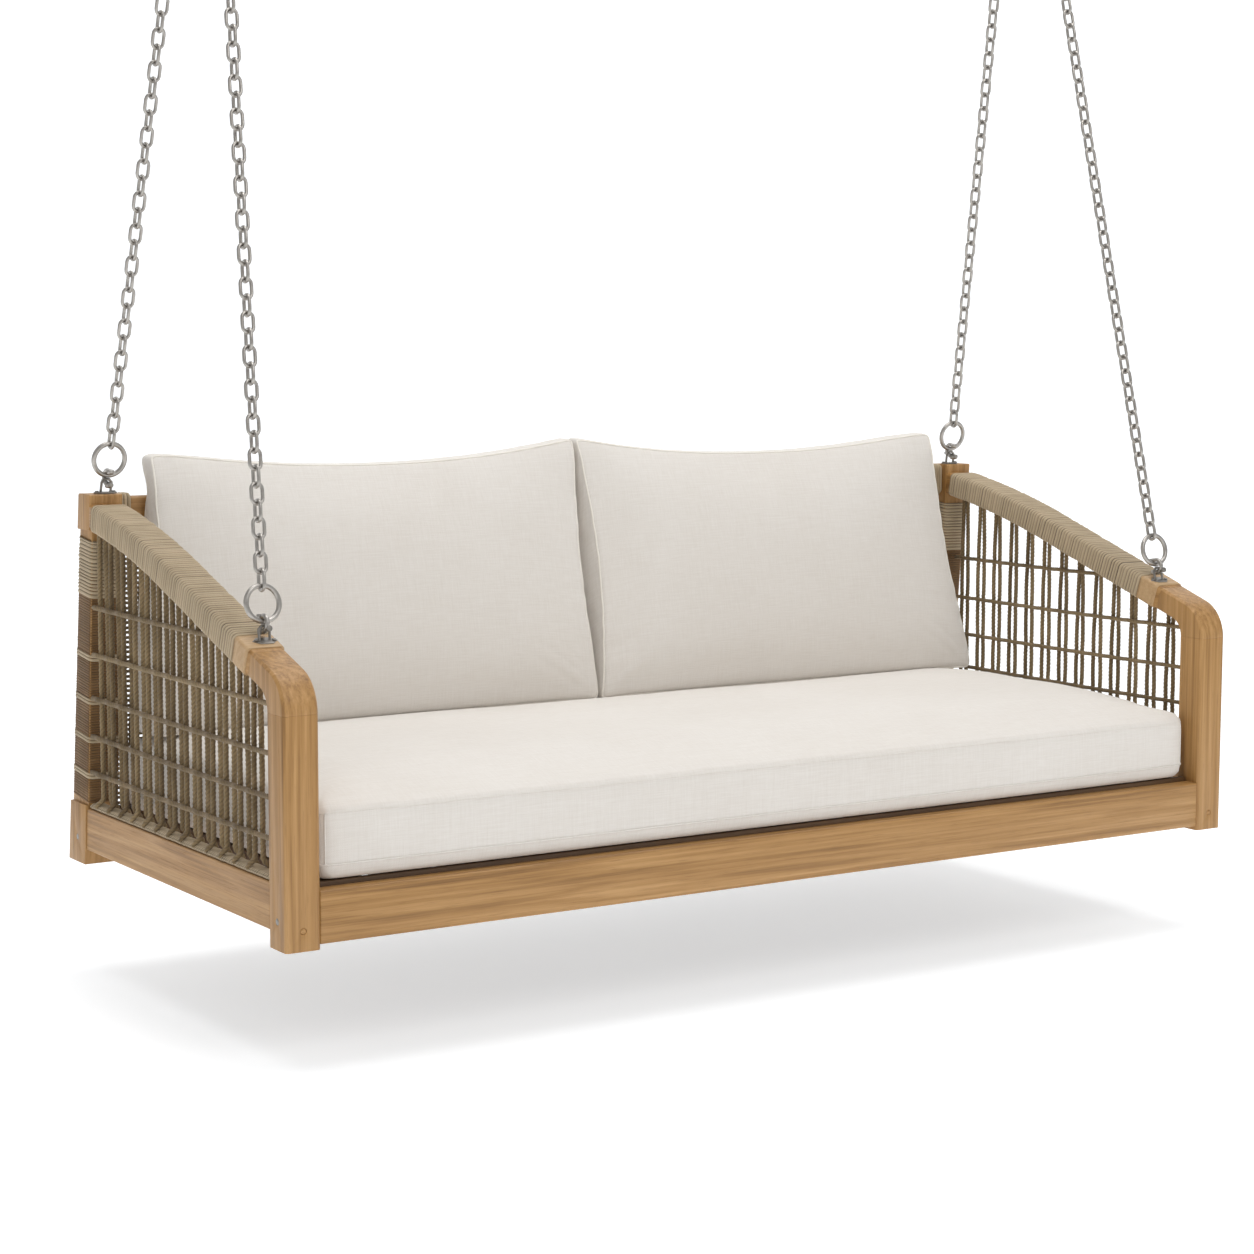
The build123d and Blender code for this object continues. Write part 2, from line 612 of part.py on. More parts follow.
with BuildPart() as left_net_rows:
    for row in NET_ROW_HEIGHTS:
        row_front_y = bend_inside(row + ROPE / 2) + ROPE_GAP
        while arm_height(row_front_y, WRAPPED_THICKNESS) - ROPE < row:
            row_front_y += ROPE / 2
        row_rear_y = post_front(row) - POST_BAND_THICKNESS - ROPE_GAP
        with BuildSketch(Plane((net_x, row_front_y, up(row)), x_dir=(1, 0, 0), z_dir=(0, 1, 0))):
            RegularPolygon(ROPE / 2, 6)
        extrude(amount=row_rear_y - row_front_y)

# Rope back between the lower and the top rail, raked like the posts
back_foot = FRONT_RAIL_TOP
back_top = TOP_RAIL_BOTTOM
back_foot_y = rear_rail_y + RAIL_THICKNESS / 2
back_top_y = top_rail_y + RAIL_THICKNESS / 2
back_half_width = INNER_X - POST_BAND_THICKNESS - ROPE_GAP
row_step = (back_top - back_foot) / (BACK_ROW_COUNT + 1)
back_rise = Vector(0, back_top_y - back_foot_y, back_top - back_foot)
with BuildPart() as back_rows:
    with BuildSketch(Plane.YZ.offset(-back_half_width)):
        for row in range(1, BACK_ROW_COUNT + 1):
            share = row / (BACK_ROW_COUNT + 1)
            with Locations((back_foot_y + share * back_rise.Y, up(back_foot + row * row_step))):
                RegularPolygon(BACK_ROPE / 2, 4)
    extrude(amount=2 * back_half_width)

warp_pitch = 2 * back_half_width / BACK_WARP_COUNT
warp_start = Plane(
    origin=Vector(0, back_foot_y, up(back_foot)) + back_rise.normalized() * ROPE_GAP,
    x_dir=(1, 0, 0),
    z_dir=back_rise,
)
with BuildPart() as back_warps:
    with BuildSketch(warp_start):
        with Locations((0, BACK_ROPE + ROPE_GAP)):
            with GridLocations(warp_pitch, 0, BACK_WARP_COUNT, 1):
                RegularPolygon(BACK_ROPE / 2, 4)
    extrude(amount=back_rise.length - BACK_ROPE)

with BuildPart() as top_rail_loops:
    loop_depth = RAIL_THICKNESS + 2 * BACK_ROPE
    loop_height = TOP_RAIL_TOP - TOP_RAIL_BOTTOM + 2 * BACK_ROPE
    loop_centre = (top_rail_y + RAIL_THICKNESS / 2, up((TOP_RAIL_TOP + TOP_RAIL_BOTTOM) / 2))
    loop_pitch = (2 * back_half_width - BACK_LOOP_WIDTH) / (BACK_LOOP_COUNT - 1)
    for loop in range(BACK_LOOP_COUNT):
        loop_x = (loop - (BACK_LOOP_COUNT - 1) / 2) * loop_pitch - BACK_LOOP_WIDTH / 2
        with BuildSketch(Plane.YZ.offset(loop_x)):
            with Locations(loop_centre):
                Rectangle(loop_depth, loop_height)
                Rectangle(
                    RAIL_THICKNESS + 2 * WRAP_CLEARANCE,
                    loop_height - 2 * BACK_ROPE + 2 * WRAP_CLEARANCE,
                    mode=Mode.SUBTRACT,
                )
        extrude(amount=BACK_LOOP_WIDTH)

# Hanging hardware of the left side
bow_top = -LOWER_RING_RADIUS + LOWER_RING_WIRE / 2 + HANG_GAP + SHACKLE_WIRE / 2
pin_level = -RING_STANDOFF + SHACKLE_PIN_RISE
bow_centre = bow_top - SHACKLE_RADIUS
bow_wire = bent_wire(
    [
        (SHACKLE_RADIUS, pin_level),
        *half_circle(SHACKLE_RADIUS, bow_centre, 4),
        (-SHACKLE_RADIUS, pin_level),
    ],
    SHACKLE_WIRE,
    Plane.YZ,
)
with BuildPart() as shackle_bow:
    add(bow_wire)
    for leg_y in (-SHACKLE_RADIUS, SHACKLE_RADIUS):
        with BuildSketch(
            Plane((0, leg_y - SHACKLE_WIRE / 2, pin_level), x_dir=(1, 0, 0), z_dir=(0, 1, 0))
        ):
            Circle(SHACKLE_EYE_RADIUS)
        extrude(amount=SHACKLE_WIRE)
    with BuildSketch(
        Plane((0, -2 * SHACKLE_RADIUS, pin_level), x_dir=(1, 0, 0), z_dir=(0, 1, 0))
    ):
        Circle(SHACKLE_PIN / 2 + SCREW_CLEARANCE)
    extrude(amount=4 * SHACKLE_RADIUS, mode=Mode.SUBTRACT)

with BuildPart() as shackle_pin:
    pin_face = SHACKLE_RADIUS + SHACKLE_WIRE / 2 + SCREW_CLEARANCE
    with BuildSketch(Plane((0, -pin_face, pin_level), x_dir=(1, 0, 0), z_dir=(0, 1, 0))):
        Circle(SHACKLE_PIN / 2)
    extrude(amount=2 * pin_face)
    with BuildSketch(Plane((0, -pin_face, pin_level), x_dir=(1, 0, 0), z_dir=(0, -1, 0))):
        Circle(SHACKLE_PIN_HEAD / 2)
    extrude(amount=SHACKLE_PIN_HEAD_LENGTH)

with BuildPart() as left_shackles:
    with Locations(*[corner.location for corner in corners]):
        add(shackle_bow.part)

with BuildPart() as left_shackle_pins:
    with Locations(*[corner.location for corner in corners]):
        add(shackle_pin.part)

lower_ring = ring_of_wire(LOWER_RING_RADIUS, LOWER_RING_WIRE, Plane.XZ)
with BuildPart() as left_lower_rings:
    with Locations(*[corner.location for corner in corners]):
        add(lower_ring)

loop_top = pin_level + SHACKLE_PIN / 2 + HANG_GAP + EYE_LOOP_WIRE / 2
loop_bend = loop_top - EYE_LOOP_RADIUS
loop_foot = -RING_STANDOFF + EYE_PLATE_THICKNESS * 2 / 3
eye_loop = bent_wire(
    [
        (EYE_LOOP_RADIUS, loop_foot),
        *half_circle(EYE_LOOP_RADIUS, loop_bend, 4),
        (-EYE_LOOP_RADIUS, loop_foot),
    ],
    EYE_LOOP_WIRE,
    Plane.XZ,
)
with BuildPart() as left_eye_plates:
    for seat, corner in zip(seats, corners):
        with BuildSketch(seat):
            Polygon(
                (-EYE_PLATE_LENGTH / 2, 0),
                (-EYE_PLATE_LENGTH / 4, -EYE_PLATE_WIDTH / 2),
                (EYE_PLATE_LENGTH / 4, -EYE_PLATE_WIDTH / 2),
                (EYE_PLATE_LENGTH / 2, 0),
                (EYE_PLATE_LENGTH / 4, EYE_PLATE_WIDTH / 2),
                (-EYE_PLATE_LENGTH / 4, EYE_PLATE_WIDTH / 2),
            )
            with Locations(*screw_spots):
                Circle(SCREW_SHANK / 2 + SCREW_CLEARANCE, mode=Mode.SUBTRACT)
        extrude(amount=EYE_PLATE_THICKNESS)
        with Locations(corner.location):
            add(eye_loop)

with BuildPart() as left_eye_screws:
    for seat in seats:
        head_seat = seat.offset(EYE_PLATE_THICKNESS)
        with BuildSketch(head_seat):
            with Locations(*screw_spots):
                Circle(SCREW_HEAD / 2)
        extrude(amount=SCREW_HEAD_HEIGHT)
        with BuildSketch(head_seat):
            with Locations(*screw_spots):
                Circle(SCREW_SHANK / 2)
        extrude(amount=-SCREW_LENGTH)

front_left_chain = chain_between(front_corner, apex)
rear_left_chain = chain_between(rear_corner, apex)

top_ring_plane = Plane(origin=apex, x_dir=hang_line, z_dir=hang_normal)
top_ring = ring_of_wire(TOP_RING_RADIUS, TOP_RING_WIRE, top_ring_plane)
with BuildPart() as left_top_ring:
    add(top_ring)

# Left ceiling hanger: plate with two lugs, axle and the eye that swings on it
axle_z = -AXLE_DROP
lug_inner = LUG_GAP / 2
lug_outer = lug_inner + LUG_THICKNESS
with BuildPart() as left_ceiling_plate:
    with BuildSketch(Plane((-HOOK_X, 0, -CEILING_PLATE_THICKNESS))):
        RectangleRounded(CEILING_PLATE_WIDTH, CEILING_PLATE_LENGTH, CEILING_BOLT_HOLE)
        with GridLocations(0, CEILING_BOLT_SPACING, 1, 2):
            Circle(CEILING_BOLT_HOLE / 2, mode=Mode.SUBTRACT)
    extrude(amount=CEILING_PLATE_THICKNESS)
    for lug_x in (-lug_outer, lug_inner):
        with BuildSketch(Plane.YZ.offset(-HOOK_X + lug_x)):
            with BuildLine():
                Line((-LUG_RADIUS, -CEILING_PLATE_THICKNESS), (-LUG_RADIUS, axle_z))
                ThreePointArc(
                    (-LUG_RADIUS, axle_z), (0, axle_z - LUG_RADIUS), (LUG_RADIUS, axle_z)
                )
                Line((LUG_RADIUS, axle_z), (LUG_RADIUS, -CEILING_PLATE_THICKNESS))
                Line((LUG_RADIUS, -CEILING_PLATE_THICKNESS), (-LUG_RADIUS, -CEILING_PLATE_THICKNESS))
            make_face()
            with Locations((0, axle_z)):
                Circle(AXLE_DIAMETER / 2 + AXLE_CLEARANCE, mode=Mode.SUBTRACT)
        extrude(amount=LUG_THICKNESS)

axle_end_x = lug_outer + AXLE_END
with BuildPart() as left_axle_bolt:
    with BuildSketch(Plane.YZ.offset(-HOOK_X - lug_outer)):
        with Locations((0, axle_z)):
            Circle(AXLE_DIAMETER / 2)
    extrude(amount=lug_outer + axle_end_x)
    with BuildSketch(Plane.YZ.offset(-HOOK_X - lug_outer)):
        with Locations((0, axle_z)):
            RegularPolygon(AXLE_HEAD / 2, 6)
    extrude(amount=-AXLE_HEAD_LENGTH)

with BuildPart() as left_axle_nut:
    with BuildSketch(Plane.YZ.offset(-HOOK_X + lug_outer)):
        with Locations((0, axle_z)):
            RegularPolygon(AXLE_HEAD / 2, 6)
            Circle(AXLE_DIAMETER / 2 + AXLE_CLEARANCE, mode=Mode.SUBTRACT)
    extrude(amount=AXLE_END)

eye_z = axle_z - HANGER_EYE_DROP
eye_rim = HANGER_EYE_RADIUS + HANGER_EYE_RIM
with BuildPart() as left_hanger_eye:
    sleeve_length = LUG_GAP - 2 * HANGER_SIDE_PLAY
    with BuildSketch(Plane.YZ.offset(-HOOK_X - sleeve_length / 2)):
        with Locations((0, axle_z)):
            Circle(HANGER_SLEEVE_RADIUS)
    extrude(amount=sleeve_length)
    with BuildSketch(Plane.XZ.offset(-HANGER_THICKNESS / 2)):
        with Locations((-HOOK_X, eye_z)):
            Circle(eye_rim)
        with Locations((-HOOK_X, (axle_z + eye_z) / 2)):
            Rectangle(sleeve_length, HANGER_EYE_DROP)
        with Locations((-HOOK_X, eye_z)):
            Circle(HANGER_EYE_RADIUS, mode=Mode.SUBTRACT)
    extrude(amount=HANGER_THICKNESS)
    with BuildSketch(Plane.YZ.offset(-HOOK_X - sleeve_length / 2)):
        with Locations((0, axle_z)):
            Circle(AXLE_DIAMETER / 2 + AXLE_CLEARANCE)
    extrude(amount=sleeve_length, mode=Mode.SUBTRACT)

# Screws in the outer faces of the posts and plugs in the front faces of the front posts
with BuildPart() as left_frame_screws:
    for plane in (front_screw_plane, rear_screw_plane):
        with BuildSketch(plane):
            Circle(POST_SCREW_HEAD / 2)
        extrude(amount=POST_SCREW_DEPTH)

with BuildPart() as left_wood_plug:
    with BuildSketch(plug_plane):
        Circle(WOOD_PLUG / 2)
    extrude(amount=WOOD_PLUG_DEPTH)

# Seat cushion: drawn-in ends, crowned top, sides that bulge between the piped edges
seat_base = up(SLAT_TOP) + CUSHION_REST_GAP
seat_front_y = FRONT_Y + SEAT_CUSHION_FRONT_GAP
seat_depth = SWING_DEPTH - SEAT_CUSHION_FRONT_GAP - SEAT_CUSHION_REAR_GAP
seat_middle_y = seat_front_y + seat_depth / 2
seat_half_width = INNER_X - SEAT_CUSHION_SIDE_GAP
seat_stations = (
    (-1.0, 0.0, SEAT_CUSHION_END_DRAW),
    (-0.985, 0.35, 0.0),
    (-0.8, 0.85, 0.0),
    (-0.4, 1.0, 0.0),
    (0.4, 1.0, 0.0),
    (0.8, 0.85, 0.0),
    (0.985, 0.35, 0.0),
    (1.0, 0.0, SEAT_CUSHION_END_DRAW),
)
with BuildPart() as seat_cushion:
    for along, fullness, draw in seat_stations:
        half = seat_depth / 2 - SEAT_CUSHION_BULGE - draw
        foot = seat_base + draw
        top = seat_base + SEAT_CUSHION_THICKNESS - draw
        belly = (foot + top) / 2
        front_edge = seat_middle_y - half
        rear_edge = seat_middle_y + half
        bulge = SEAT_CUSHION_BULGE * (0.3 + 0.7 * fullness)
        with BuildSketch(Plane.YZ.offset(along * seat_half_width)):
            with BuildLine():
                Line((front_edge, foot), (rear_edge, foot))
                ThreePointArc((rear_edge, foot), (rear_edge + bulge, belly), (rear_edge, top))
                ThreePointArc(
                    (rear_edge, top),
                    (seat_middle_y, top + SEAT_CUSHION_CROWN * (0.1 + 0.9 * fullness)),
                    (front_edge, top),
                )
                ThreePointArc((front_edge, top), (front_edge - bulge, belly), (front_edge, foot))
            make_face()
    loft(ruled=True)

# Left back cushion: wedge with a crowned front, a dip between the upper corners, and a top that
# leans back over the top rail.  The outer end leans in.  A station gives its share of the width from
# the outer end, its fullness, how far its edges are drawn in and how far its top lies under the corners.
back_lean_y = top_rail_y - BACK_ROPE - CUSHION_REST_GAP
rail_clear = up(TOP_RAIL_TOP) + BACK_ROPE + CUSHION_REST_GAP
crown_half = seat_depth / 2 - SEAT_CUSHION_BULGE
crown_radius = (crown_half**2 + SEAT_CUSHION_CROWN**2) / (2 * SEAT_CUSHION_CROWN)
crown_rest = sqrt(crown_radius**2 - (back_lean_y - BACK_CUSHION_FOOT_DEPTH - seat_middle_y) ** 2)
crown_rise = SEAT_CUSHION_CROWN - crown_radius + crown_rest
back_base = seat_base + SEAT_CUSHION_THICKNESS + crown_rise + CUSHION_REST_GAP
back_outer_x = -INNER_X + BACK_CUSHION_SIDE_GAP
back_cushion_width = -back_outer_x - BACK_CUSHION_MIDDLE_GAP / 2
back_stations = (
    (0.0, 0.0, BACK_CUSHION_END_DRAW, BACK_CUSHION_DIP * 0.7),
    (0.015, 0.3, BACK_CUSHION_END_DRAW / 4, BACK_CUSHION_DIP * 0.3),
    (0.045, 0.5, 0.0, 0.0),
    (0.14, 0.75, 0.0, BACK_CUSHION_DIP * 0.18),
    (0.3, 0.95, 0.0, BACK_CUSHION_DIP * 0.7),
    (0.5, 1.0, 0.0, BACK_CUSHION_DIP),
    (0.7, 0.95, 0.0, BACK_CUSHION_DIP * 0.7),
    (0.86, 0.75, 0.0, BACK_CUSHION_DIP * 0.18),
    (0.97, 0.5, 0.0, 0.0),
    (0.99, 0.3, BACK_CUSHION_END_DRAW / 4, BACK_CUSHION_DIP * 0.1),
    (1.0, 0.0, BACK_CUSHION_END_DRAW, BACK_CUSHION_DIP * 0.4),
)
with BuildPart() as left_back_cushion:
    for along, fullness, draw, dip in back_stations:
        tilt = radians(BACK_CUSHION_LEAN_IN) * (1 - along)
        station = Plane(
            origin=(back_outer_x + along * back_cushion_width, 0, back_base),
            x_dir=(0, 1, 0),
            z_dir=(cos(tilt), 0, -sin(tilt)),
        )
        ledge = (rail_clear - back_base) / cos(tilt)
        foot = draw / 2
        top = BACK_CUSHION_HEIGHT - dip
        shoulder = top - BACK_CUSHION_TOP_DEPTH / 4
        middle = (foot + top) / 2
        rear_edge = back_lean_y - draw
        over_edge = rear_edge + BACK_CUSHION_OVERHANG
        foot_edge = rear_edge - BACK_CUSHION_FOOT_DEPTH + 2 * draw
        top_edge = over_edge - BACK_CUSHION_TOP_DEPTH + draw
        crown = 2 + BACK_CUSHION_CROWN * fullness
        with BuildSketch(station):
            with BuildLine():
                Line((foot_edge, foot), (rear_edge, foot))
                Line((rear_edge, foot), (rear_edge, ledge))
                Line((rear_edge, ledge), (over_edge, (ledge + shoulder) / 2))
                Line((over_edge, (ledge + shoulder) / 2), (over_edge, shoulder))
                ThreePointArc(
                    (over_edge, shoulder), ((over_edge + top_edge) / 2, top), (top_edge, shoulder)
                )
                ThreePointArc(
                    (top_edge, shoulder),
                    ((top_edge + foot_edge) / 2 - crown, middle),
                    (foot_edge, foot),
                )
            make_face()
    loft(ruled=True)

# Pieces with a mirror image on the right
handed = {
    "front_post": left_front_post.part,
    "rear_post": left_rear_post.part,
    "arm_bend": left_arm_bend.part,
    "arm": left_arm.part,
    "side_rail": left_side_rail.part,
    "arm_wrap": left_arm_wrap.part,
    "post_bands": left_post_bands.part,
    "foot_rope": left_foot_rope.part,
    "net_uprights": left_net_uprights.part,
    "net_rows": left_net_rows.part,
    "front_chain": front_left_chain,
    "rear_chain": rear_left_chain,
    "lower_rings": left_lower_rings.part,
    "top_ring": left_top_ring.part,
    "ceiling_plate": left_ceiling_plate.part,
    "axle_bolt": left_axle_bolt.part,
    "axle_nut": left_axle_nut.part,
    "hanger_eye": left_hanger_eye.part,
    "back_cushion": left_back_cushion.part,
}

# Small hardware that is one group over both sides
paired = {
    "eye_plates": left_eye_plates.part,
    "eye_plate_screws": left_eye_screws.part,
    "shackles": left_shackles.part,
    "shackle_pins": left_shackle_pins.part,
    "frame_screws": left_frame_screws.part,
    "wood_plugs": left_wood_plug.part,
}

single = {
    "front_rail": front_rail.part,
    "rear_rail": rear_rail.part,
    "top_back_rail": top_back_rail.part,
    "front_batten": front_batten.part,
    "rear_batten": rear_batten.part,
    "seat_slats": seat_slats.part,
    "back_rows": back_rows.part,
    "back_warps": back_warps.part,
    "top_rail_loops": top_rail_loops.part,
    "seat_cushion": seat_cushion.part,
}


def hand_in(piece, name):
    """Label a piece and write its STEP file."""
    piece.label = name
    export_step(piece, f"parts/{name}.step")


os.makedirs("parts", exist_ok=True)
for name, piece in single.items():
    hand_in(piece, name)
for name, piece in handed.items():
    with BuildPart() as twin:
        mirror(piece, about=Plane.YZ)
    hand_in(piece, f"left_{name}")
    hand_in(twin.part, f"right_{name}")
for name, piece in paired.items():
    with BuildPart() as group:
        add(piece)
        mirror(piece, about=Plane.YZ)
    hand_in(group.part, name)
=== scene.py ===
"""Dress the porch swing: eased timber, rope work, linen cushions, steel chain, camera and light."""

import logging
import math
from dataclasses import dataclass, field
from enum import Enum
from typing import Any, Callable, Optional, Sequence, Union

import bmesh
import bpy
import numpy as np
from mathutils import Matrix, Vector
from mathutils.bvhtree import BVHTree


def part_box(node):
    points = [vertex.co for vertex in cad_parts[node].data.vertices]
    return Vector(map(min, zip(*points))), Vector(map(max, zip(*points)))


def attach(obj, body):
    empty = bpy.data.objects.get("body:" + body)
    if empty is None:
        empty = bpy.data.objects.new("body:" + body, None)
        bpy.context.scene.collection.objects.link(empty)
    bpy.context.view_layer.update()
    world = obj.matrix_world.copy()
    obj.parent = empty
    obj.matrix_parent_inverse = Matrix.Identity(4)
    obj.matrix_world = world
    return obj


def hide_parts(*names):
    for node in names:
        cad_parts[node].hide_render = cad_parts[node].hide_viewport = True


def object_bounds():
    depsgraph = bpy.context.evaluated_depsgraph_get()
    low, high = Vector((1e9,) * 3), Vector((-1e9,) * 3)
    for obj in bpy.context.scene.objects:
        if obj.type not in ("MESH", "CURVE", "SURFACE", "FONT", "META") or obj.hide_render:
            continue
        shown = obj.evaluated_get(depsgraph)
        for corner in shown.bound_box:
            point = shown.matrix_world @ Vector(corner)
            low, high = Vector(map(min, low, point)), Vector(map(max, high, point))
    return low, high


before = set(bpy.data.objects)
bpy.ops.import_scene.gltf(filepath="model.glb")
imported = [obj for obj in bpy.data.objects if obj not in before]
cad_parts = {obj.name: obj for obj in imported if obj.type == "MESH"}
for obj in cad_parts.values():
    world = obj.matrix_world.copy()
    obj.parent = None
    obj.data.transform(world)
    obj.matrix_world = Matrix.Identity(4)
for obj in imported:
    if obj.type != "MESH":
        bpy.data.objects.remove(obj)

LOG = logging.getLogger("porch_swing")
CAD_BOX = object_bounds()
SEED = 20
X_WAY = np.array([1.0, 0.0, 0.0])
TINY = 1e-9
WELD = 1e-6

Triple = tuple[float, float, float]
Colour = Triple
Input = Union["Signal", float, Sequence[float]]


def put(name: str, data: Any) -> bpy.types.Object:
    """Add an object to the scene.

    Args:
        name: The object's name.
        data: Its mesh, light or camera.

    Returns:
        The new object.
    """
    made = bpy.data.objects.new(name, data)
    bpy.context.scene.collection.objects.link(made)
    return made


class Grain(Enum):
    """The way the grain of a timber piece runs."""

    ACROSS = "X"
    FORE_AND_AFT = "Y"
    UPRIGHT = "Z"


class Side(Enum):
    """A hand of the swing, with the sign of its X."""

    LEFT = -1
    RIGHT = 1

    @property
    def word(self) -> str:
        """Give the word that names of this side start with."""
        return self.name.lower()


class Chain(Enum):
    """A chain of one side, with the word that its names hold."""

    FRONT = "front"
    REAR = "rear"


class Signal:
    """A value inside a material: a node's output socket with arithmetic."""

    def __init__(self, graph: "MaterialGraph", socket: bpy.types.NodeSocket) -> None:
        """Keep the socket and the graph that it belongs to."""
        self.graph = graph
        self.socket = socket

    def _math(self, operation: str, first: Input, second: Input) -> "Signal":
        """Add a Math node for two values.

        Args:
            operation: The Math node's operation.
            first: The first value.
            second: The second value.

        Returns:
            The node's result.
        """
        return self.graph.node("ShaderNodeMath", {"operation": operation}, {0: first, 1: second})

    def __add__(self, other: Input) -> "Signal":
        """Add a value."""
        return self._math("ADD", self, other)

    def __radd__(self, other: Input) -> "Signal":
        """Add to a value."""
        return self._math("ADD", other, self)

    def __sub__(self, other: Input) -> "Signal":
        """Take a value away."""
        return self._math("SUBTRACT", self, other)

    def __rsub__(self, other: Input) -> "Signal":
        """Take this from a value."""
        return self._math("SUBTRACT", other, self)

    def __mul__(self, other: Input) -> "Signal":
        """Multiply by a value."""
        return self._math("MULTIPLY", self, other)

    def __rmul__(self, other: Input) -> "Signal":
        """Multiply a value by this."""
        return self._math("MULTIPLY", other, self)

    def __pow__(self, other: Input) -> "Signal":
        """Raise to a power."""
        return self._math("POWER", self, other)

    def __rpow__(self, other: Input) -> "Signal":
        """Raise a value to this power."""
        return self._math("POWER", other, self)

    def wave(self) -> "Signal":
        """Give the sine."""
        return self.graph.node("ShaderNodeMath", {"operation": "SINE"}, {0: self})

    def clamped(self) -> "Signal":
        """Hold the value between 0 and 1."""
        return self.graph.node("ShaderNodeMath", {"operation": "ADD", "use_clamp": True}, {0: self, 1: 0.0})


class MaterialGraph:
    """A new material with one Principled shader, and the nodes that feed it."""

    mix_share = 0
    mix_colours = (6, 7)
    mix_result = 2

    def __init__(self, name: str) -> None:
        """Make the material.

        Args:
            name: The material's name.
        """
        self.material = bpy.data.materials.new(name)
        self.material.use_nodes = True
        self.tree = self.material.node_tree
        self.shader = self.tree.nodes["Principled BSDF"]

    def node(self, kind: str, settings: dict[str, Any], inputs: dict[Any, Input], out: Any = 0) -> Signal:
        """Add a node.

        Args:
            kind: The node's type.
            settings: Its properties, and for a ramp its "stops".
            inputs: Values or signals for its input sockets.
            out: The output that is given back.

        Returns:
            That output.
        """
        made = self.tree.nodes.new(kind)
        for key, value in settings.items():
            if key == "stops":
                self._set_stops(made.color_ramp, value)
            else:
                setattr(made, key, value)
        for key, value in inputs.items():
            self._feed(made.inputs[key], value)
        return Signal(self, made.outputs[out])

    def _set_stops(self, ramp: bpy.types.ColorRamp, stops: Sequence[tuple[float, Colour]]) -> None:
        """Give a ramp its stops.

        Args:
            ramp: The ramp.
            stops: The place and the colour of each stop.
        """
        while len(ramp.elements) < len(stops):
            ramp.elements.new(1.0)
        for element, (place, colour) in zip(ramp.elements, stops):
            element.position = place
            element.color = (*colour, 1.0)

    def _feed(self, socket: bpy.types.NodeSocket, value: Input) -> None:
        """Link a signal to a socket, or set its value.

        Args:
            socket: The socket.
            value: A signal, a number, a colour or a vector.
        """
        if isinstance(value, Signal):
            self.tree.links.new(value.socket, socket)
        elif isinstance(value, (int, float)):
            socket.default_value = value
        else:
            value = tuple(value)
            wanted = len(socket.default_value)
            socket.default_value = value + (1.0,) * (wanted - len(value))

    def place(self) -> tuple[Signal, Signal, Signal]:
        """Give the X, Y and Z of the surface in the swing's frame.

        Returns:
            The three signals, in metres.
        """
        where = self.node("ShaderNodeTexCoord", {}, {}, "Object")
        split = self.node("ShaderNodeSeparateXYZ", {}, {0: where})
        outs = split.socket.node.outputs
        return tuple(Signal(self, outs[k]) for k in range(3))

    def noise(self, place: Sequence[Signal], scale: Sequence[float], detail: float = 2.0,
              rough: float = 0.6, warp: float = 0.0, drift: Optional[Signal] = None) -> Signal:
        """Give noise over a surface.

        Args:
            place: Three lengths that say where the surface is.
            scale: How many lumps a metre of each length has.
            detail: How much finer detail is added.
            rough: How strong that detail is.
            warp: How far the lumps are bent.
            drift: What is added to the third length once it is scaled, if anything.

        Returns:
            The noise, from 0 to 1.
        """
        x, y, z = (length * lumps for length, lumps in zip(place, scale))
        if drift is not None:
            z = z + drift
        where = self.node("ShaderNodeCombineXYZ", {}, {0: x, 1: y, 2: z})
        inputs = {"Vector": where, "Scale": 1.0, "Detail": detail, "Roughness": rough, "Distortion": warp}
        return self.node("ShaderNodeTexNoise", {}, inputs)

    def ramp(self, value: Signal, *stops: tuple[float, Colour]) -> Signal:
        """Turn a value into a colour."""
        return self.node("ShaderNodeValToRGB", {"stops": stops}, {0: value})

    def mix(self, share: Input, first: Input, second: Input) -> Signal:
        """Mix two colours.

        Args:
            share: How much of the second colour.
            first: The first colour.
            second: The second colour.

        Returns:
            The mixed colour.
        """
        inputs = {self.mix_share: share, self.mix_colours[0]: first, self.mix_colours[1]: second}
        return self.node("ShaderNodeMix", {"data_type": "RGBA"}, inputs, self.mix_result)

    def island(self) -> Signal:
        """Give a random value for each loose part of the mesh."""
        return self.node("ShaderNodeNewGeometry", {}, {}, "Random Per Island")

    def finish(self, colour: Input, roughness: Input, bump: Optional[Signal] = None, height: float = 0.001,
               strength: float = 1.0, **constants: Input) -> bpy.types.Material:
        """Feed the shader.

        Args:
            colour: The base colour.
            roughness: The roughness.
            bump: A height signal from 0 to 1, if any.
            height: What a height of 1 stands for, in metres.
            strength: How strong the bump is.
            constants: Values for the shader's other sockets, with _ for a space.

        Returns:
            The material.
        """
        self._feed(self.shader.inputs["Base Color"], colour)
        self._feed(self.shader.inputs["Roughness"], roughness)
        if bump is not None:
            inputs = {"Height": bump, "Distance": height, "Strength": strength}
            self._feed(self.shader.inputs["Normal"], self.node("ShaderNodeBump", {}, inputs))
        for key, value in constants.items():
            self._feed(self.shader.inputs[key.replace("_", " ")], value)
        return self.material


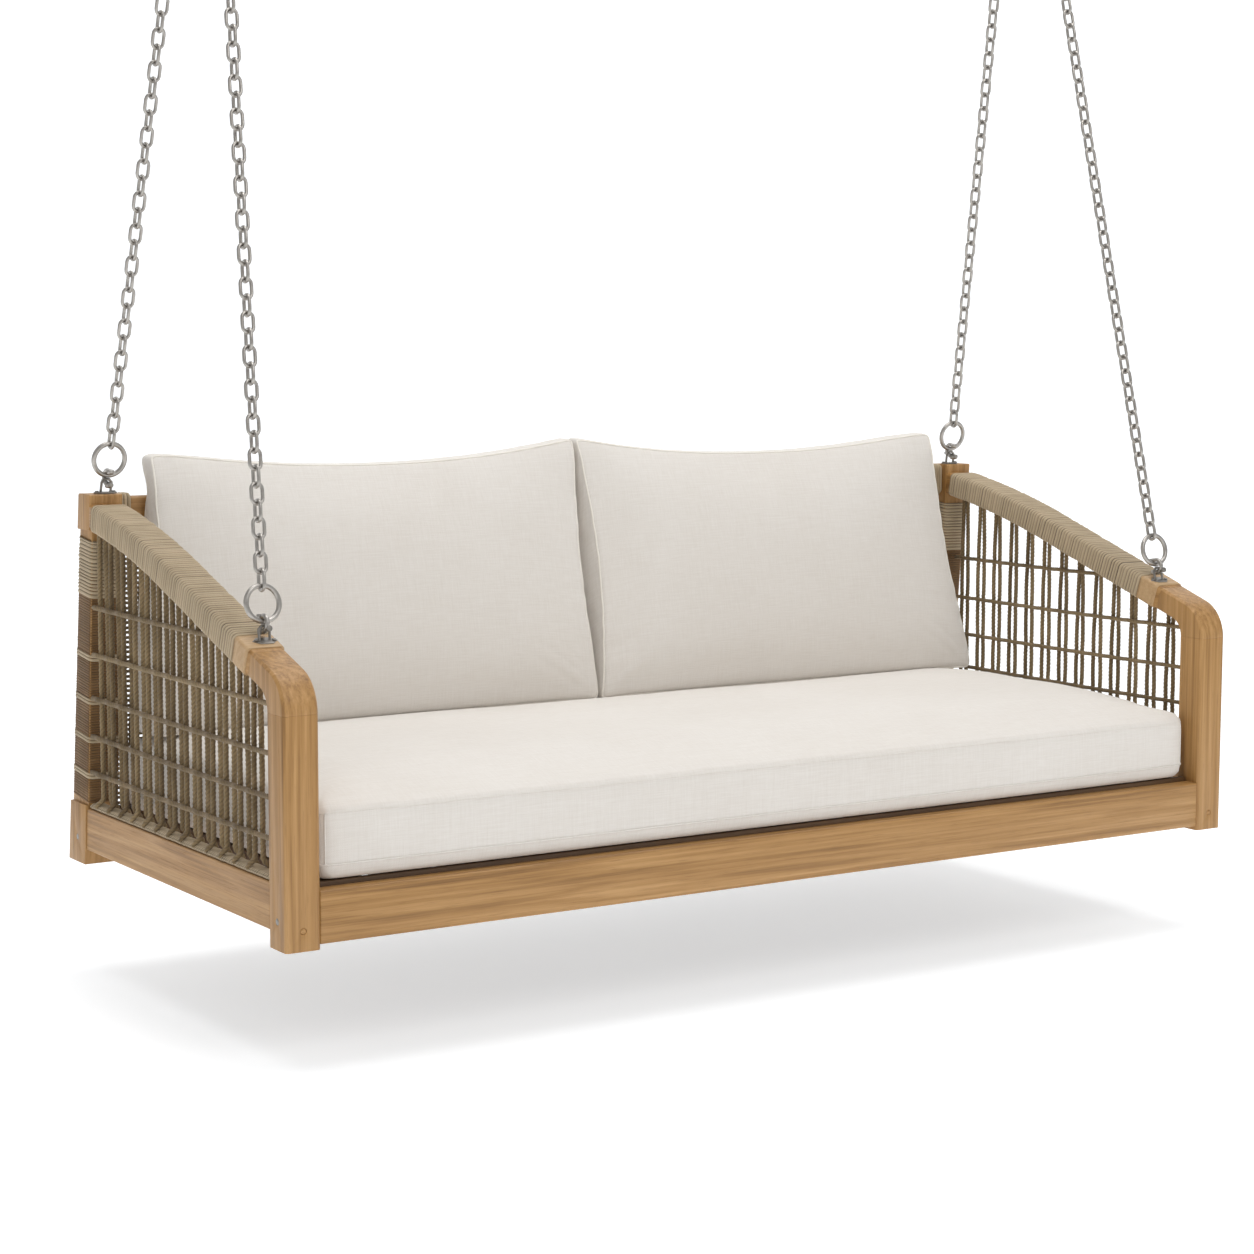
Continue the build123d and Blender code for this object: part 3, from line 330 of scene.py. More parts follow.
@dataclass(frozen=True)
class TimberFinish:
    """Oiled light hardwood with fine pores and growth lines.  Scales are lumps in a metre."""

    name: str = "timber"
    pale: Colour = (0.515, 0.293, 0.110)
    middle: Colour = (0.385, 0.202, 0.061)
    dark: Colour = (0.180, 0.082, 0.021)
    pore_tint: Colour = (0.20, 0.098, 0.034)
    broad_scale: Triple = (12.0, 12.0, 1.0)
    figure_scale: Triple = (70.0, 70.0, 1.9)
    streak_scale: Triple = (210.0, 210.0, 3.2)
    pore_scale: Triple = (950.0, 950.0, 24.0)
    pore_floor: float = 0.57
    pore_share: float = 0.4
    pore_depth: float = 0.0004

    def material(self, grain: Grain) -> bpy.types.Material:
        """Make the finish for one way of the grain.

        Args:
            grain: The way the grain runs.

        Returns:
            The material.
        """
        graph = MaterialGraph(f"{self.name}_{grain.name.lower()}")
        x, y, z = graph.place()
        side, deep, along = {
            Grain.ACROSS: (y, z, x),
            Grain.FORE_AND_AFT: (x, z, y),
            Grain.UPRIGHT: (x, y, z),
        }[grain]
        place = (side, deep, along)
        broad = graph.noise(place, self.broad_scale, rough=0.5, warp=0.3)
        figure = graph.noise(place, self.figure_scale, 3.0, 0.55, 0.35, broad)
        streak = graph.noise(place, self.streak_scale, 3.0)
        growth = side * 380.0 + deep * 270.0 + figure * 9.0 + broad * 34.0
        lines = (growth.wave() * 0.5 + 0.5) ** 2.0
        pores = graph.noise(place, self.pore_scale)
        pore = ((pores - self.pore_floor) * 7.0).clamped()
        tone = (figure * 0.38 + streak * 0.5 + lines * 0.08 + broad * 0.2 - 0.06).clamped()
        colour = graph.ramp(tone, (0.3, self.dark), (0.5, self.middle), (0.7, self.pale))
        colour = graph.mix(pore * self.pore_share, colour, self.pore_tint)
        rough = 0.5 + pore * 0.2 - lines * 0.06
        relief = 1.0 - pore * 0.8 + lines * 0.15
        return graph.finish(colour, rough, relief, self.pore_depth, 0.5,
                            Coat_Weight=0.06, Coat_Roughness=0.4)


@dataclass(frozen=True)
class RopeFinish:
    """Twisted outdoor cord with loose fibres, and painted shade in the grooves between strands and turns.
    """

    name: str
    pale: Colour
    dark: Colour
    # Share and colour of the painted shade in the grooves.
    groove_share: float = 0.85
    groove_tint: Colour = (0.055, 0.038, 0.022)
    fleck: Colour = (0.50, 0.33, 0.21)
    fleck_share: float = 0.25
    fibre_scale: Triple = (700.0, 700.0, 700.0)
    patch_scale: Triple = (22.0, 22.0, 22.0)
    fibre_height: float = 0.0007
    value_out: int = 2

    def material(self) -> bpy.types.Material:
        """Make the finish.

        Returns:
            The material.
        """
        graph = MaterialGraph(self.name)
        place = graph.place()
        fibre = graph.noise(place, self.fibre_scale, 3.0, 0.65)
        patch = graph.noise(place, self.patch_scale, rough=0.5)
        tone = (fibre * 0.5 + patch * 0.55 + graph.island() * 0.3 - 0.2).clamped()
        colour = graph.ramp(tone, (0.15, self.dark), (0.75, self.pale))
        warm = ((patch - 0.55) * 3.0).clamped()
        colour = graph.mix(warm * self.fleck_share, colour, self.fleck)
        # Painted shade: the mesh's groove value darkens the cord towards the groove shade tint where
        # strands and turns meet.
        named = {"attribute_name": MeshBuffer.groove_name}
        groove = graph.node("ShaderNodeAttribute", named, {}, self.value_out)
        colour = graph.mix((groove * self.groove_share).clamped(), colour, self.groove_tint)
        rough = 0.86 - fibre * 0.12
        return graph.finish(colour, rough, fibre, self.fibre_height, 0.8,
                            Sheen_Weight=0.15, Sheen_Roughness=0.6, Specular_IOR_Level=0.25)


@dataclass(frozen=True)
class LinenFinish:
    """Woven off-white cover cloth with slubs both ways."""

    name: str = "linen"
    pale: Colour = (0.79, 0.754, 0.708)
    shade: Colour = (0.675, 0.625, 0.565)
    weft_scale: Triple = (26.0, 620.0, 40.0)
    warp_scale: Triple = (620.0, 24.0, 40.0)
    cloud_scale: Triple = (5.0, 5.0, 5.0)
    thread_turns: float = 2600.0
    slub_height: float = 0.0007

    def material(self) -> bpy.types.Material:
        """Make the finish.

        Returns:
            The material.
        """
        graph = MaterialGraph(self.name)
        x, y, z = graph.place()
        up = y * 0.7 + z
        weft = graph.noise((x, up, y), self.weft_scale)
        warp = graph.noise((x, up, y), self.warp_scale)
        cloud = graph.noise((x, y, z), self.cloud_scale, rough=0.5)
        thread = ((x * self.thread_turns).wave() * (up * self.thread_turns).wave()) * 0.5 + 0.5
        slub = weft * 0.55 + warp * 0.45
        tone = ((slub - 0.5) + cloud * 0.3 + 0.36).clamped()
        colour = graph.ramp(tone, (0.1, self.shade), (0.7, self.pale))
        relief = slub * 0.7 + thread * 0.3
        return graph.finish(colour, 0.9, relief, self.slub_height, 0.7,
                            Sheen_Weight=0.2, Sheen_Roughness=0.5, Specular_IOR_Level=0.2)


@dataclass(frozen=True)
class SteelFinish:
    """Satin nickel-plated steel with faint scratches."""

    name: str = "satin_steel"
    tint: Colour = (0.44, 0.415, 0.385)
    dull: Colour = (0.235, 0.218, 0.2)
    roughness: float = 0.28
    smear_scale: Triple = (90.0, 90.0, 90.0)
    scratch_scale: Triple = (900.0, 900.0, 160.0)
    scratch_depth: float = 0.0001

    def material(self) -> bpy.types.Material:
        """Make the finish.

        Returns:
            The material.
        """
        graph = MaterialGraph(self.name)
        place = graph.place()
        smear = graph.noise(place, self.smear_scale, 3.0)
        scratch = graph.noise(place, self.scratch_scale)
        worn = ((smear - 0.45) * 2.4).clamped()
        colour = graph.mix(worn * 0.55, self.tint, self.dull)
        rough = self.roughness + worn * 0.16 + scratch * 0.06
        return graph.finish(colour, rough, scratch, self.scratch_depth, 0.35, Metallic=1.0)


class MeshBuffer:
    """Vertices and faces that grow strip by strip and end as one object."""

    # Point attribute that the rope finishes turn into painted shade in the grooves.
    groove_name = "groove"
    strands = 3
    lobe = 0.13

    def __init__(self) -> None:
        """Start empty."""
        self.points: list[np.ndarray] = []
        self.grooves: list[np.ndarray] = []
        self.faces: list[np.ndarray] = []
        self.count = 0

    def grid(self, rows: np.ndarray, closed: bool = True, looped: bool = False, shift: int = 0,
             groove: Union[np.ndarray, float] = 0.0) -> None:
        """Add a sheet of quads.

        Args:
            rows: Points, row by row, as an array of rows, columns and 3.
            closed: Join each row's last point to its first.
            looped: Join the last row to the first.
            shift: Rows that the seam climbs where a row closes, for a winding.
            groove: How deep in a groove each point lies, from 0 to 1, which sets the painted shade there.
        """
        tall, wide = rows.shape[:2]
        down = np.arange(tall if looped else tall - 1 - shift)
        over = np.arange(wide if closed else wide - 1)
        i, j = np.meshgrid(down, over, indexing="ij")
        nj = (j + 1) % wide
        step = np.where(j + 1 == wide, shift, 0)
        ni = (i + 1) % tall
        quads = np.stack(
            [
                i * wide + j,
                ((i + step) % tall) * wide + nj,
                ((ni + step) % tall) * wide + nj,
                ni * wide + j,
            ],
            axis=-1,
        ).reshape(-1, 4)
        self.points.append(rows.reshape(-1, 3))
        self.grooves.append(np.broadcast_to(groove, rows.shape[:2]).reshape(-1))
        self.faces.append(quads + self.count)
        self.count += tall * wide

    def tube(self, path: np.ndarray, radius: float, sides: int = 8, looped: bool = False) -> None:
        """Add a round tube along a path."""
        self.section(path, np.full((len(path), sides), radius), looped)

    def section(self, path: np.ndarray, radii: np.ndarray, looped: bool = False,
                groove: Union[np.ndarray, float] = 0.0) -> None:
        """Add a tube whose radius is given at each station and angle, with rounded-in ends.

        Args:
            path: The middle line.
            radii: Radius by station and angle.
            looped: The path is a closed loop.
            groove: How deep in a groove each point lies, from 0 to 1, which sets the painted shade there.
        """
        first, second = Path.frames(path, looped)
        sides = radii.shape[1]
        angles = (np.arange(sides) * math.tau / sides)[None, :, None]
        ring = np.cos(angles) * first[:, None, :] + np.sin(angles) * second[:, None, :]
        rows = path[:, None, :] + ring * radii[:, :, None]
        groove = np.broadcast_to(groove, radii.shape)
        if not looped:
            rows = np.concatenate([path[None, :1].repeat(sides, 1), rows, path[None, -1:].repeat(sides, 1)])
            groove = np.concatenate([groove[:1], groove, groove[-1:]])
        self.grid(rows, True, looped, groove=groove)

    def rope(self, path: np.ndarray, radius: float, pitch: float, phase: float = 0.0) -> None:
        """Add a laid rope: a lobed section that turns along the path.

        Args:
            path: The middle line.
            radius: Outside radius.
            pitch: Length of one full turn of a strand.
            phase: Turn at the start.
        """
        path = Path.even(path, pitch / self.strands / 2.6)
        run = Path.run(path)
        sides = self.strands * 3
        angles = np.arange(sides) * math.tau / sides
        lobes = np.cos((angles[None, :] - math.tau * run[:, None] / pitch - phase) * self.strands)
        # Painted shade mask: high between the strands.
        groove = np.clip(0.5 - 0.5 * lobes, 0.0, 1.0) ** 2
        self.section(path, radius * (1.0 - self.lobe + self.lobe * lobes), groove=groove)

    def build(self, name: str, material: bpy.types.Material) -> bpy.types.Object:
        """Make the object.

        Args:
            name: The object's name.
            material: Its finish.

        Returns:
            The new object.
        """
        points = np.concatenate(self.points)
        faces = np.concatenate(self.faces)
        mesh = bpy.data.meshes.new(name)
        mesh.from_pydata(points.tolist(), [], faces.tolist())
        grooves = np.concatenate(self.grooves)
        if grooves.any():
            mesh.attributes.new(self.groove_name, "FLOAT", "POINT").data.foreach_set("value", grooves)
        work = bmesh.new()
        work.from_mesh(mesh)
        bmesh.ops.remove_doubles(work, verts=work.verts, dist=WELD)
        bmesh.ops.recalc_face_normals(work, faces=work.faces)
        work.to_mesh(mesh)
        work.free()
        mesh.polygons.foreach_set("use_smooth", [True] * len(mesh.polygons))
        mesh.materials.append(material)
        return put(name, mesh)


class Path:
    """Helpers for paths, which are arrays of points."""

    @staticmethod
    def run(path: np.ndarray) -> np.ndarray:
        """Give the length along the path at each point."""
        return np.concatenate([[0.0], np.cumsum(np.linalg.norm(np.diff(path, axis=0), axis=1))])

    @staticmethod
    def even(path: np.ndarray, step: float) -> np.ndarray:
        """Give points at even steps along a path.

        Args:
            path: The path's points.
            step: The distance between two points, about.

        Returns:
            The new points, with both ends kept.
        """
        run = Path.run(path)
        count = max(2, int(round(run[-1] / step)) + 1)
        places = np.linspace(0.0, run[-1], count)
        return np.stack([np.interp(places, run, path[:, k]) for k in range(3)], axis=1)

    @staticmethod
    def frames(path: np.ndarray, looped: bool = False) -> tuple[np.ndarray, np.ndarray]:
        """Give two directions square to the path at each point, with no twist along it.

        Args:
            path: The points.
            looped: The path is a closed loop.

        Returns:
            The two directions, point by point.
        """
        if looped:
            tangent = np.roll(path, -1, 0) - np.roll(path, 1, 0)
        else:
            tangent = np.gradient(path, axis=0)
        tangent /= np.linalg.norm(tangent, axis=1)[:, None]
        spread = np.linalg.svd(path - path.mean(0), full_matrices=False)[2]
        fixed = spread[2]
        side = np.cross(tangent, fixed)
        weak = np.linalg.norm(side, axis=1) < WELD
        side[weak] = spread[1]
        side /= np.linalg.norm(side, axis=1)[:, None]
        return side, np.cross(tangent, side)

    @staticmethod
    def rounded_box(half_wide: float, half_tall: float, corner: float, count: int) -> np.ndarray:
        """Give points round a rectangle with round corners, anticlockwise from its right side.

        Args:
            half_wide: Half its width.
            half_tall: Half its height.
            corner: Corner radius.
            count: Points on each corner.

        Returns:
            The points, as an array of 2 columns.
        """
        spots = []
        middles = ((half_wide, 0.0), (0.0, half_tall), (-half_wide, 0.0), (0.0, -half_tall))
        corners = ((1, 1), (-1, 1), (-1, -1), (1, -1))
        for k, (sx, sy) in enumerate(corners):
            spots.append(middles[k])
            for angle in np.linspace(0.0, math.pi / 2, count) + k * math.pi / 2:
                x = sx * (half_wide - corner) + corner * math.cos(angle)
                y = sy * (half_tall - corner) + corner * math.sin(angle)
                spots.append((x, y))
        return np.array(spots)


class Finishes:
    """Every finish of the swing, made once."""

    def __init__(self) -> None:
        """Make the materials."""
        strap = TimberFinish("strap", (0.56, 0.375, 0.20), (0.50, 0.32, 0.155), (0.43, 0.26, 0.115))
        # Painted shade: the seat slats and battens get near-black timber that stands in for the deep shade
        # under the seat cushion's front edge.
        slat = TimberFinish("slat", (0.14, 0.076, 0.03), (0.10, 0.052, 0.02), (0.06, 0.03, 0.011))
        wood = TimberFinish()
        self.strap = strap.material(Grain.ACROSS)
        self.slat = {grain: slat.material(grain) for grain in (Grain.FORE_AND_AFT, Grain.ACROSS)}
        self.timber = {grain: wood.material(grain) for grain in Grain}
        # The last value given, where there is one, is the share of painted shade in the cord's grooves.
        winding = RopeFinish("arm_winding_cord", (0.54, 0.43, 0.285), (0.36, 0.275, 0.17), 1.0)
        net = RopeFinish("net_rope", (0.38, 0.275, 0.142), (0.13, 0.084, 0.037), 0.5)
        brown = RopeFinish("post_winding_cord", (0.225, 0.121, 0.041), (0.11, 0.055, 0.017))
        self.winding = winding.material()
        self.net = net.material()
        self.brown = brown.material()
        self.linen = LinenFinish().material()
        # Painted highlight: the back cushions' seam cords get a paler linen, which paints the lit ridge
        # along each seam.
        self.seam = LinenFinish("seam_linen", (0.88, 0.84, 0.77), (0.79, 0.74, 0.67)).material()
        self.steel = SteelFinish().material()
        eye_steel = SteelFinish("eye_steel", (0.30, 0.28, 0.255), (0.15, 0.137, 0.122), 0.36)
        self.dark_steel = eye_steel.material()


def fit(piece: bpy.types.Object, body: str, slot: str, *nodes: str) -> None:
    """Place a piece on its body and hide the solids that it stands for.

    Args:
        piece: The piece.
        body: The body that carries it.
        slot: Not used.
        nodes: The solids that it stands for.
    """
    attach(piece, body)
    if nodes:
        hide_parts(*nodes)
    LOG.info("%s on %s, %d faces", piece.name, body, len(piece.data.polygons))


@dataclass
class EasedSolids:
    """Copies of the solids with their edges softly rounded."""

    finishes: Finishes
    ease: float = 0.0016
    joint_ease: float = 0.0005
    steel_ease: float = 0.0004
    segments: int = 2
    flat_angle: float = math.radians(2.0)
    blunt_angle: float = math.radians(40.0)
    square_angle: float = math.radians(60.0)

    timber_pieces = {
        Grain.UPRIGHT: ("front_post", "rear_post", "arm_bend"),
        Grain.FORE_AND_AFT: ("arm", "side_rail"),
    }
    across_pieces = ("front_rail", "rear_rail", "top_back_rail", "wood_plugs")
    slat_pieces = {
        Grain.FORE_AND_AFT: ("seat_slats",),
        Grain.ACROSS: ("front_batten", "rear_batten"),
    }
    jointed_pieces = ("front_post", "arm_bend", "arm")
    frame_steel = ("eye_plates", "eye_plate_screws", "shackle_pins", "frame_screws")
    hanger_steel = {
        "ceiling_plate": "ceiling_mounts",
        "axle_bolt": "ceiling_mounts",
        "axle_nut": "ceiling_mounts",
        "hanger_eye": "hangers",
    }

    def copy(self, node: str, name: str, material: bpy.types.Material, ease: float,
             square_ease: float) -> bpy.types.Object:
        """Make a rounded copy of a solid.

        Args:
            node: The solid's node.
            name: The copy's name.
            material: The finish.
            ease: Radius on the blunt edges.
            square_ease: Radius on the square edges.

        Returns:
            The copy.
        """
        mesh = bpy.data.meshes.new(name)
        work = bmesh.new()
        work.from_mesh(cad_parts[node].data)
        bmesh.ops.remove_doubles(work, verts=work.verts, dist=WELD)
        bmesh.ops.dissolve_limit(work, angle_limit=self.flat_angle, verts=work.verts, edges=work.edges)
        self._round_off(work, self._edges(work, self.square_angle), square_ease)
        self._round_off(work, self._edges(work, self.blunt_angle, self.square_angle), ease)
        bmesh.ops.triangulate(work, faces=[face for face in work.faces if len(face.verts) > 4])
        for face in work.faces:
            face.smooth = True
        for edge in self._edges(work, self.blunt_angle):
            edge.smooth = False
        work.to_mesh(mesh)
        work.free()
        mesh.materials.clear()
        mesh.materials.append(material)
        return put(name, mesh)

    @staticmethod
    def _edges(work: bmesh.types.BMesh, above: float, below: float = math.inf) -> list[bmesh.types.BMEdge]:
        """Give the edges whose faces turn by an angle between two limits."""
        solid = [edge for edge in work.edges if edge.is_manifold]
        return [edge for edge in solid if above < edge.calc_face_angle(0.0) < below]

    def _round_off(self, work: bmesh.types.BMesh, edges: list[bmesh.types.BMEdge], ease: float) -> None:
        """Round edges of a mesh.

        Args:
            work: The mesh.
            edges: The edges.
            ease: How far the rounding reaches from an edge.
        """
        bmesh.ops.bevel(
            work,
            geom=edges,
            offset=ease,
            offset_type="OFFSET",
            segments=self.segments,
            profile=0.5,
            affect="EDGES",
            clamp_overlap=True,
        )

    def timber(self, node: str, material: bpy.types.Material, jointed: bool = False) -> None:
        """Dress a timber solid, with sharper square edges where it is jointed to the next one.

        Args:
            node: The solid's node.
            material: The timber finish.
            jointed: True where the piece meets the next one end to end.
        """
        square_ease = self.joint_ease if jointed else self.ease
        piece = self.copy(node, f"{node}_timber", material, self.ease, square_ease)
        fit(piece, "swing_frame", "timber", node)

    def steel(self, node: str, material: bpy.types.Material, body: str) -> None:
        """Dress a steel solid."""
        piece = self.copy(node, f"{node}_steel", material, self.steel_ease, self.steel_ease)
        fit(piece, body, "hardware", node)

    def build(self) -> None:
        """Make all the copies."""
        for grain, names in self.timber_pieces.items():
            for side in Side:
                for name in names:
                    jointed = name in self.jointed_pieces
                    self.timber(f"{side.word}_{name}", self.finishes.timber[grain], jointed)
        for node in self.across_pieces:
            self.timber(node, self.finishes.timber[Grain.ACROSS])
        # The seat slats and battens take the near-black timber: painted shade under the cushion.
        for grain, names in self.slat_pieces.items():
            for node in names:
                self.timber(node, self.finishes.slat[grain])
        for node in self.frame_steel:
            self.steel(node, self.finishes.dark_steel, "swing_frame")
        for side in Side:
            for name, body in self.hanger_steel.items():
                self.steel(f"{side.word}_{name}", self.finishes.steel, body)


@dataclass
class ArmLine:
    """The arm's side view: straight from the bend, then a curve that levels out."""

    slope: float = math.radians(18.4)
    sweep_radius: float = 1.87
    bend_radius: float = 0.065
    straight_run: float = 0.415
    thickness: float = 0.040

    def __post_init__(self) -> None:
        """Take the bend's place from its solid."""
        low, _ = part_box("left_arm_bend")
        self.straight_y = low.y + self.straight_run
        reach = self.straight_run - self.bend_radius + self.bend_radius * math.sin(self.slope)
        self.straight_z = low.z + self.bend_radius * math.cos(self.slope) + math.tan(self.slope) * reach
        self.sweep_y = self.straight_y + self.sweep_radius * math.sin(self.slope)
        self.sweep_z = self.straight_z - self.sweep_radius * math.cos(self.slope)

    def height(self, y: np.ndarray, drop: float) -> np.ndarray:
        """Give the Z of the line a distance under the arm's top face.

        Args:
            y: Where, fore and aft.
            drop: The distance under the top face.

        Returns:
            The heights.
        """
        y = np.asarray(y, float)
        rise = math.tan(self.slope) * (y - self.straight_y)
        straight = self.straight_z + rise - drop / math.cos(self.slope)
        inside = np.maximum((self.sweep_radius - drop) ** 2 - (y - self.sweep_y) ** 2, 0.0)
        sweep = self.sweep_z + np.sqrt(inside)
        return np.where(y <= self.straight_y + drop * math.sin(self.slope), straight, sweep)


@dataclass
class Winding:
    """Cord wound in close turns round a bar of rectangular section."""

    cord: float
    proud: float
    corner: float = 0.006
    seed: int = SEED
    corner_points: int = 5
    per_turn: int = 8
    core: float = 0.02
    fullness: tuple[float, float] = (0.78, 1.08)
    thin_share: float = 0.1
    thin_loss: float = 0.25
    drift: float = 0.2
    # How dark the painted shade between turns is, and the share of turns with a darker, open-looking gap.
    gap_depth: tuple[float, float] = (0.5, 0.8)
    open_share: float = 0.22
    open_depth: float = 1.2
    end_shrink: float = 0.985

    def wrap(self, buffer: MeshBuffer, path: np.ndarray, side: np.ndarray, half_wide: np.ndarray,
             half_tall: np.ndarray) -> None:
        """Wind the cord along a path.

        Args:
            buffer: The mesh that gets the winding.
            path: Middle line of the bar.
            side: Direction of the bar's width.
            half_wide: Half the bar's width, point by point.
            half_tall: Half the bar's height, point by point.
        """
        rng = np.random.default_rng(self.seed)
        run = Path.run(path)
        turns = max(1, int(round(run[-1] / self.cord)))
        pitch = run[-1] / turns
        outline = Path.rounded_box(1.0, 1.0, 0.0001, self.corner_points)
        shape = Path.rounded_box(self.core, self.core, self.corner, self.corner_points)
        around = len(shape)
        edge = np.roll(shape, -1, 0) - np.roll(shape, 1, 0)
        outward = np.stack([edge[:, 1], -edge[:, 0]], axis=1)
        outward /= np.linalg.norm(outward, axis=1)[:, None]
        rows = (turns - 1) * self.per_turn + 1
        lap = np.arange(around)[None, :] / around
        turn = np.repeat(np.arange(rows)[:, None] / self.per_turn, around, axis=1)
        which = np.minimum(turn.astype(int), turns - 1)
        inside = (turn - which) * 2.0 - 1.0
        height = np.sqrt(np.maximum(1.0 - 0.97 * inside**2, 0.0))
        swell = rng.uniform(*self.fullness, turns + 2)
        swell[rng.random(turns + 2) < self.thin_share] -= self.thin_loss
        fuller = swell[which] * (1.0 - lap) + swell[which + 1] * lap
        lift = self.proud * (0.12 + 0.88 * height * fuller)
        drift = np.interp(turn, np.arange(turns + 1), rng.uniform(-1.0, 1.0, turns + 1))
        wander = (turn + lap) * pitch + pitch * self.drift * drift * np.sin(np.pi * lap)
        # Painted shade between the turns: each turn's groove value is scaled at random, and a share of
        # turns is painted darker as open gaps.
        gap = rng.uniform(*self.gap_depth, turns + 2)
        gap[rng.random(turns + 2) < self.open_share] = self.open_depth
        groove = np.clip((np.abs(inside) - 0.4) / 0.6, 0.0, 1.0) ** 2 * gap[which]
        middle = np.stack([np.interp(wander, run, path[:, k]) for k in range(3)], axis=-1)
        ahead = np.gradient(path, axis=0)
        ahead /= np.linalg.norm(ahead, axis=1)[:, None]
        up = np.cross(side[None, :], ahead)
        up = np.stack([np.interp(wander, run, up[:, k]) for k in range(3)], axis=-1)
        wide = np.interp(wander, run, half_wide)
        tall = np.interp(wander, run, half_tall)
        grow = np.sign(outline) * (np.abs(outline) > 0.5)
        over = shape[:, 0] + grow[:, 0] * (wide - self.core) + outward[:, 0] * lift
        rise = shape[:, 1] + grow[:, 1] * (tall - self.core) + outward[:, 1] * lift
        points = middle + side * over[..., None] + up * rise[..., None]
        first = path[0] + (points[0] - path[0]) * self.end_shrink
        last = path[-1] + (points[-1] - path[-1]) * self.end_shrink
        points = np.concatenate([first[None], points, last[None]])
        groove = np.concatenate([groove[:1], groove, groove[-1:]])
        buffer.grid(points, True, False, self.per_turn, groove)


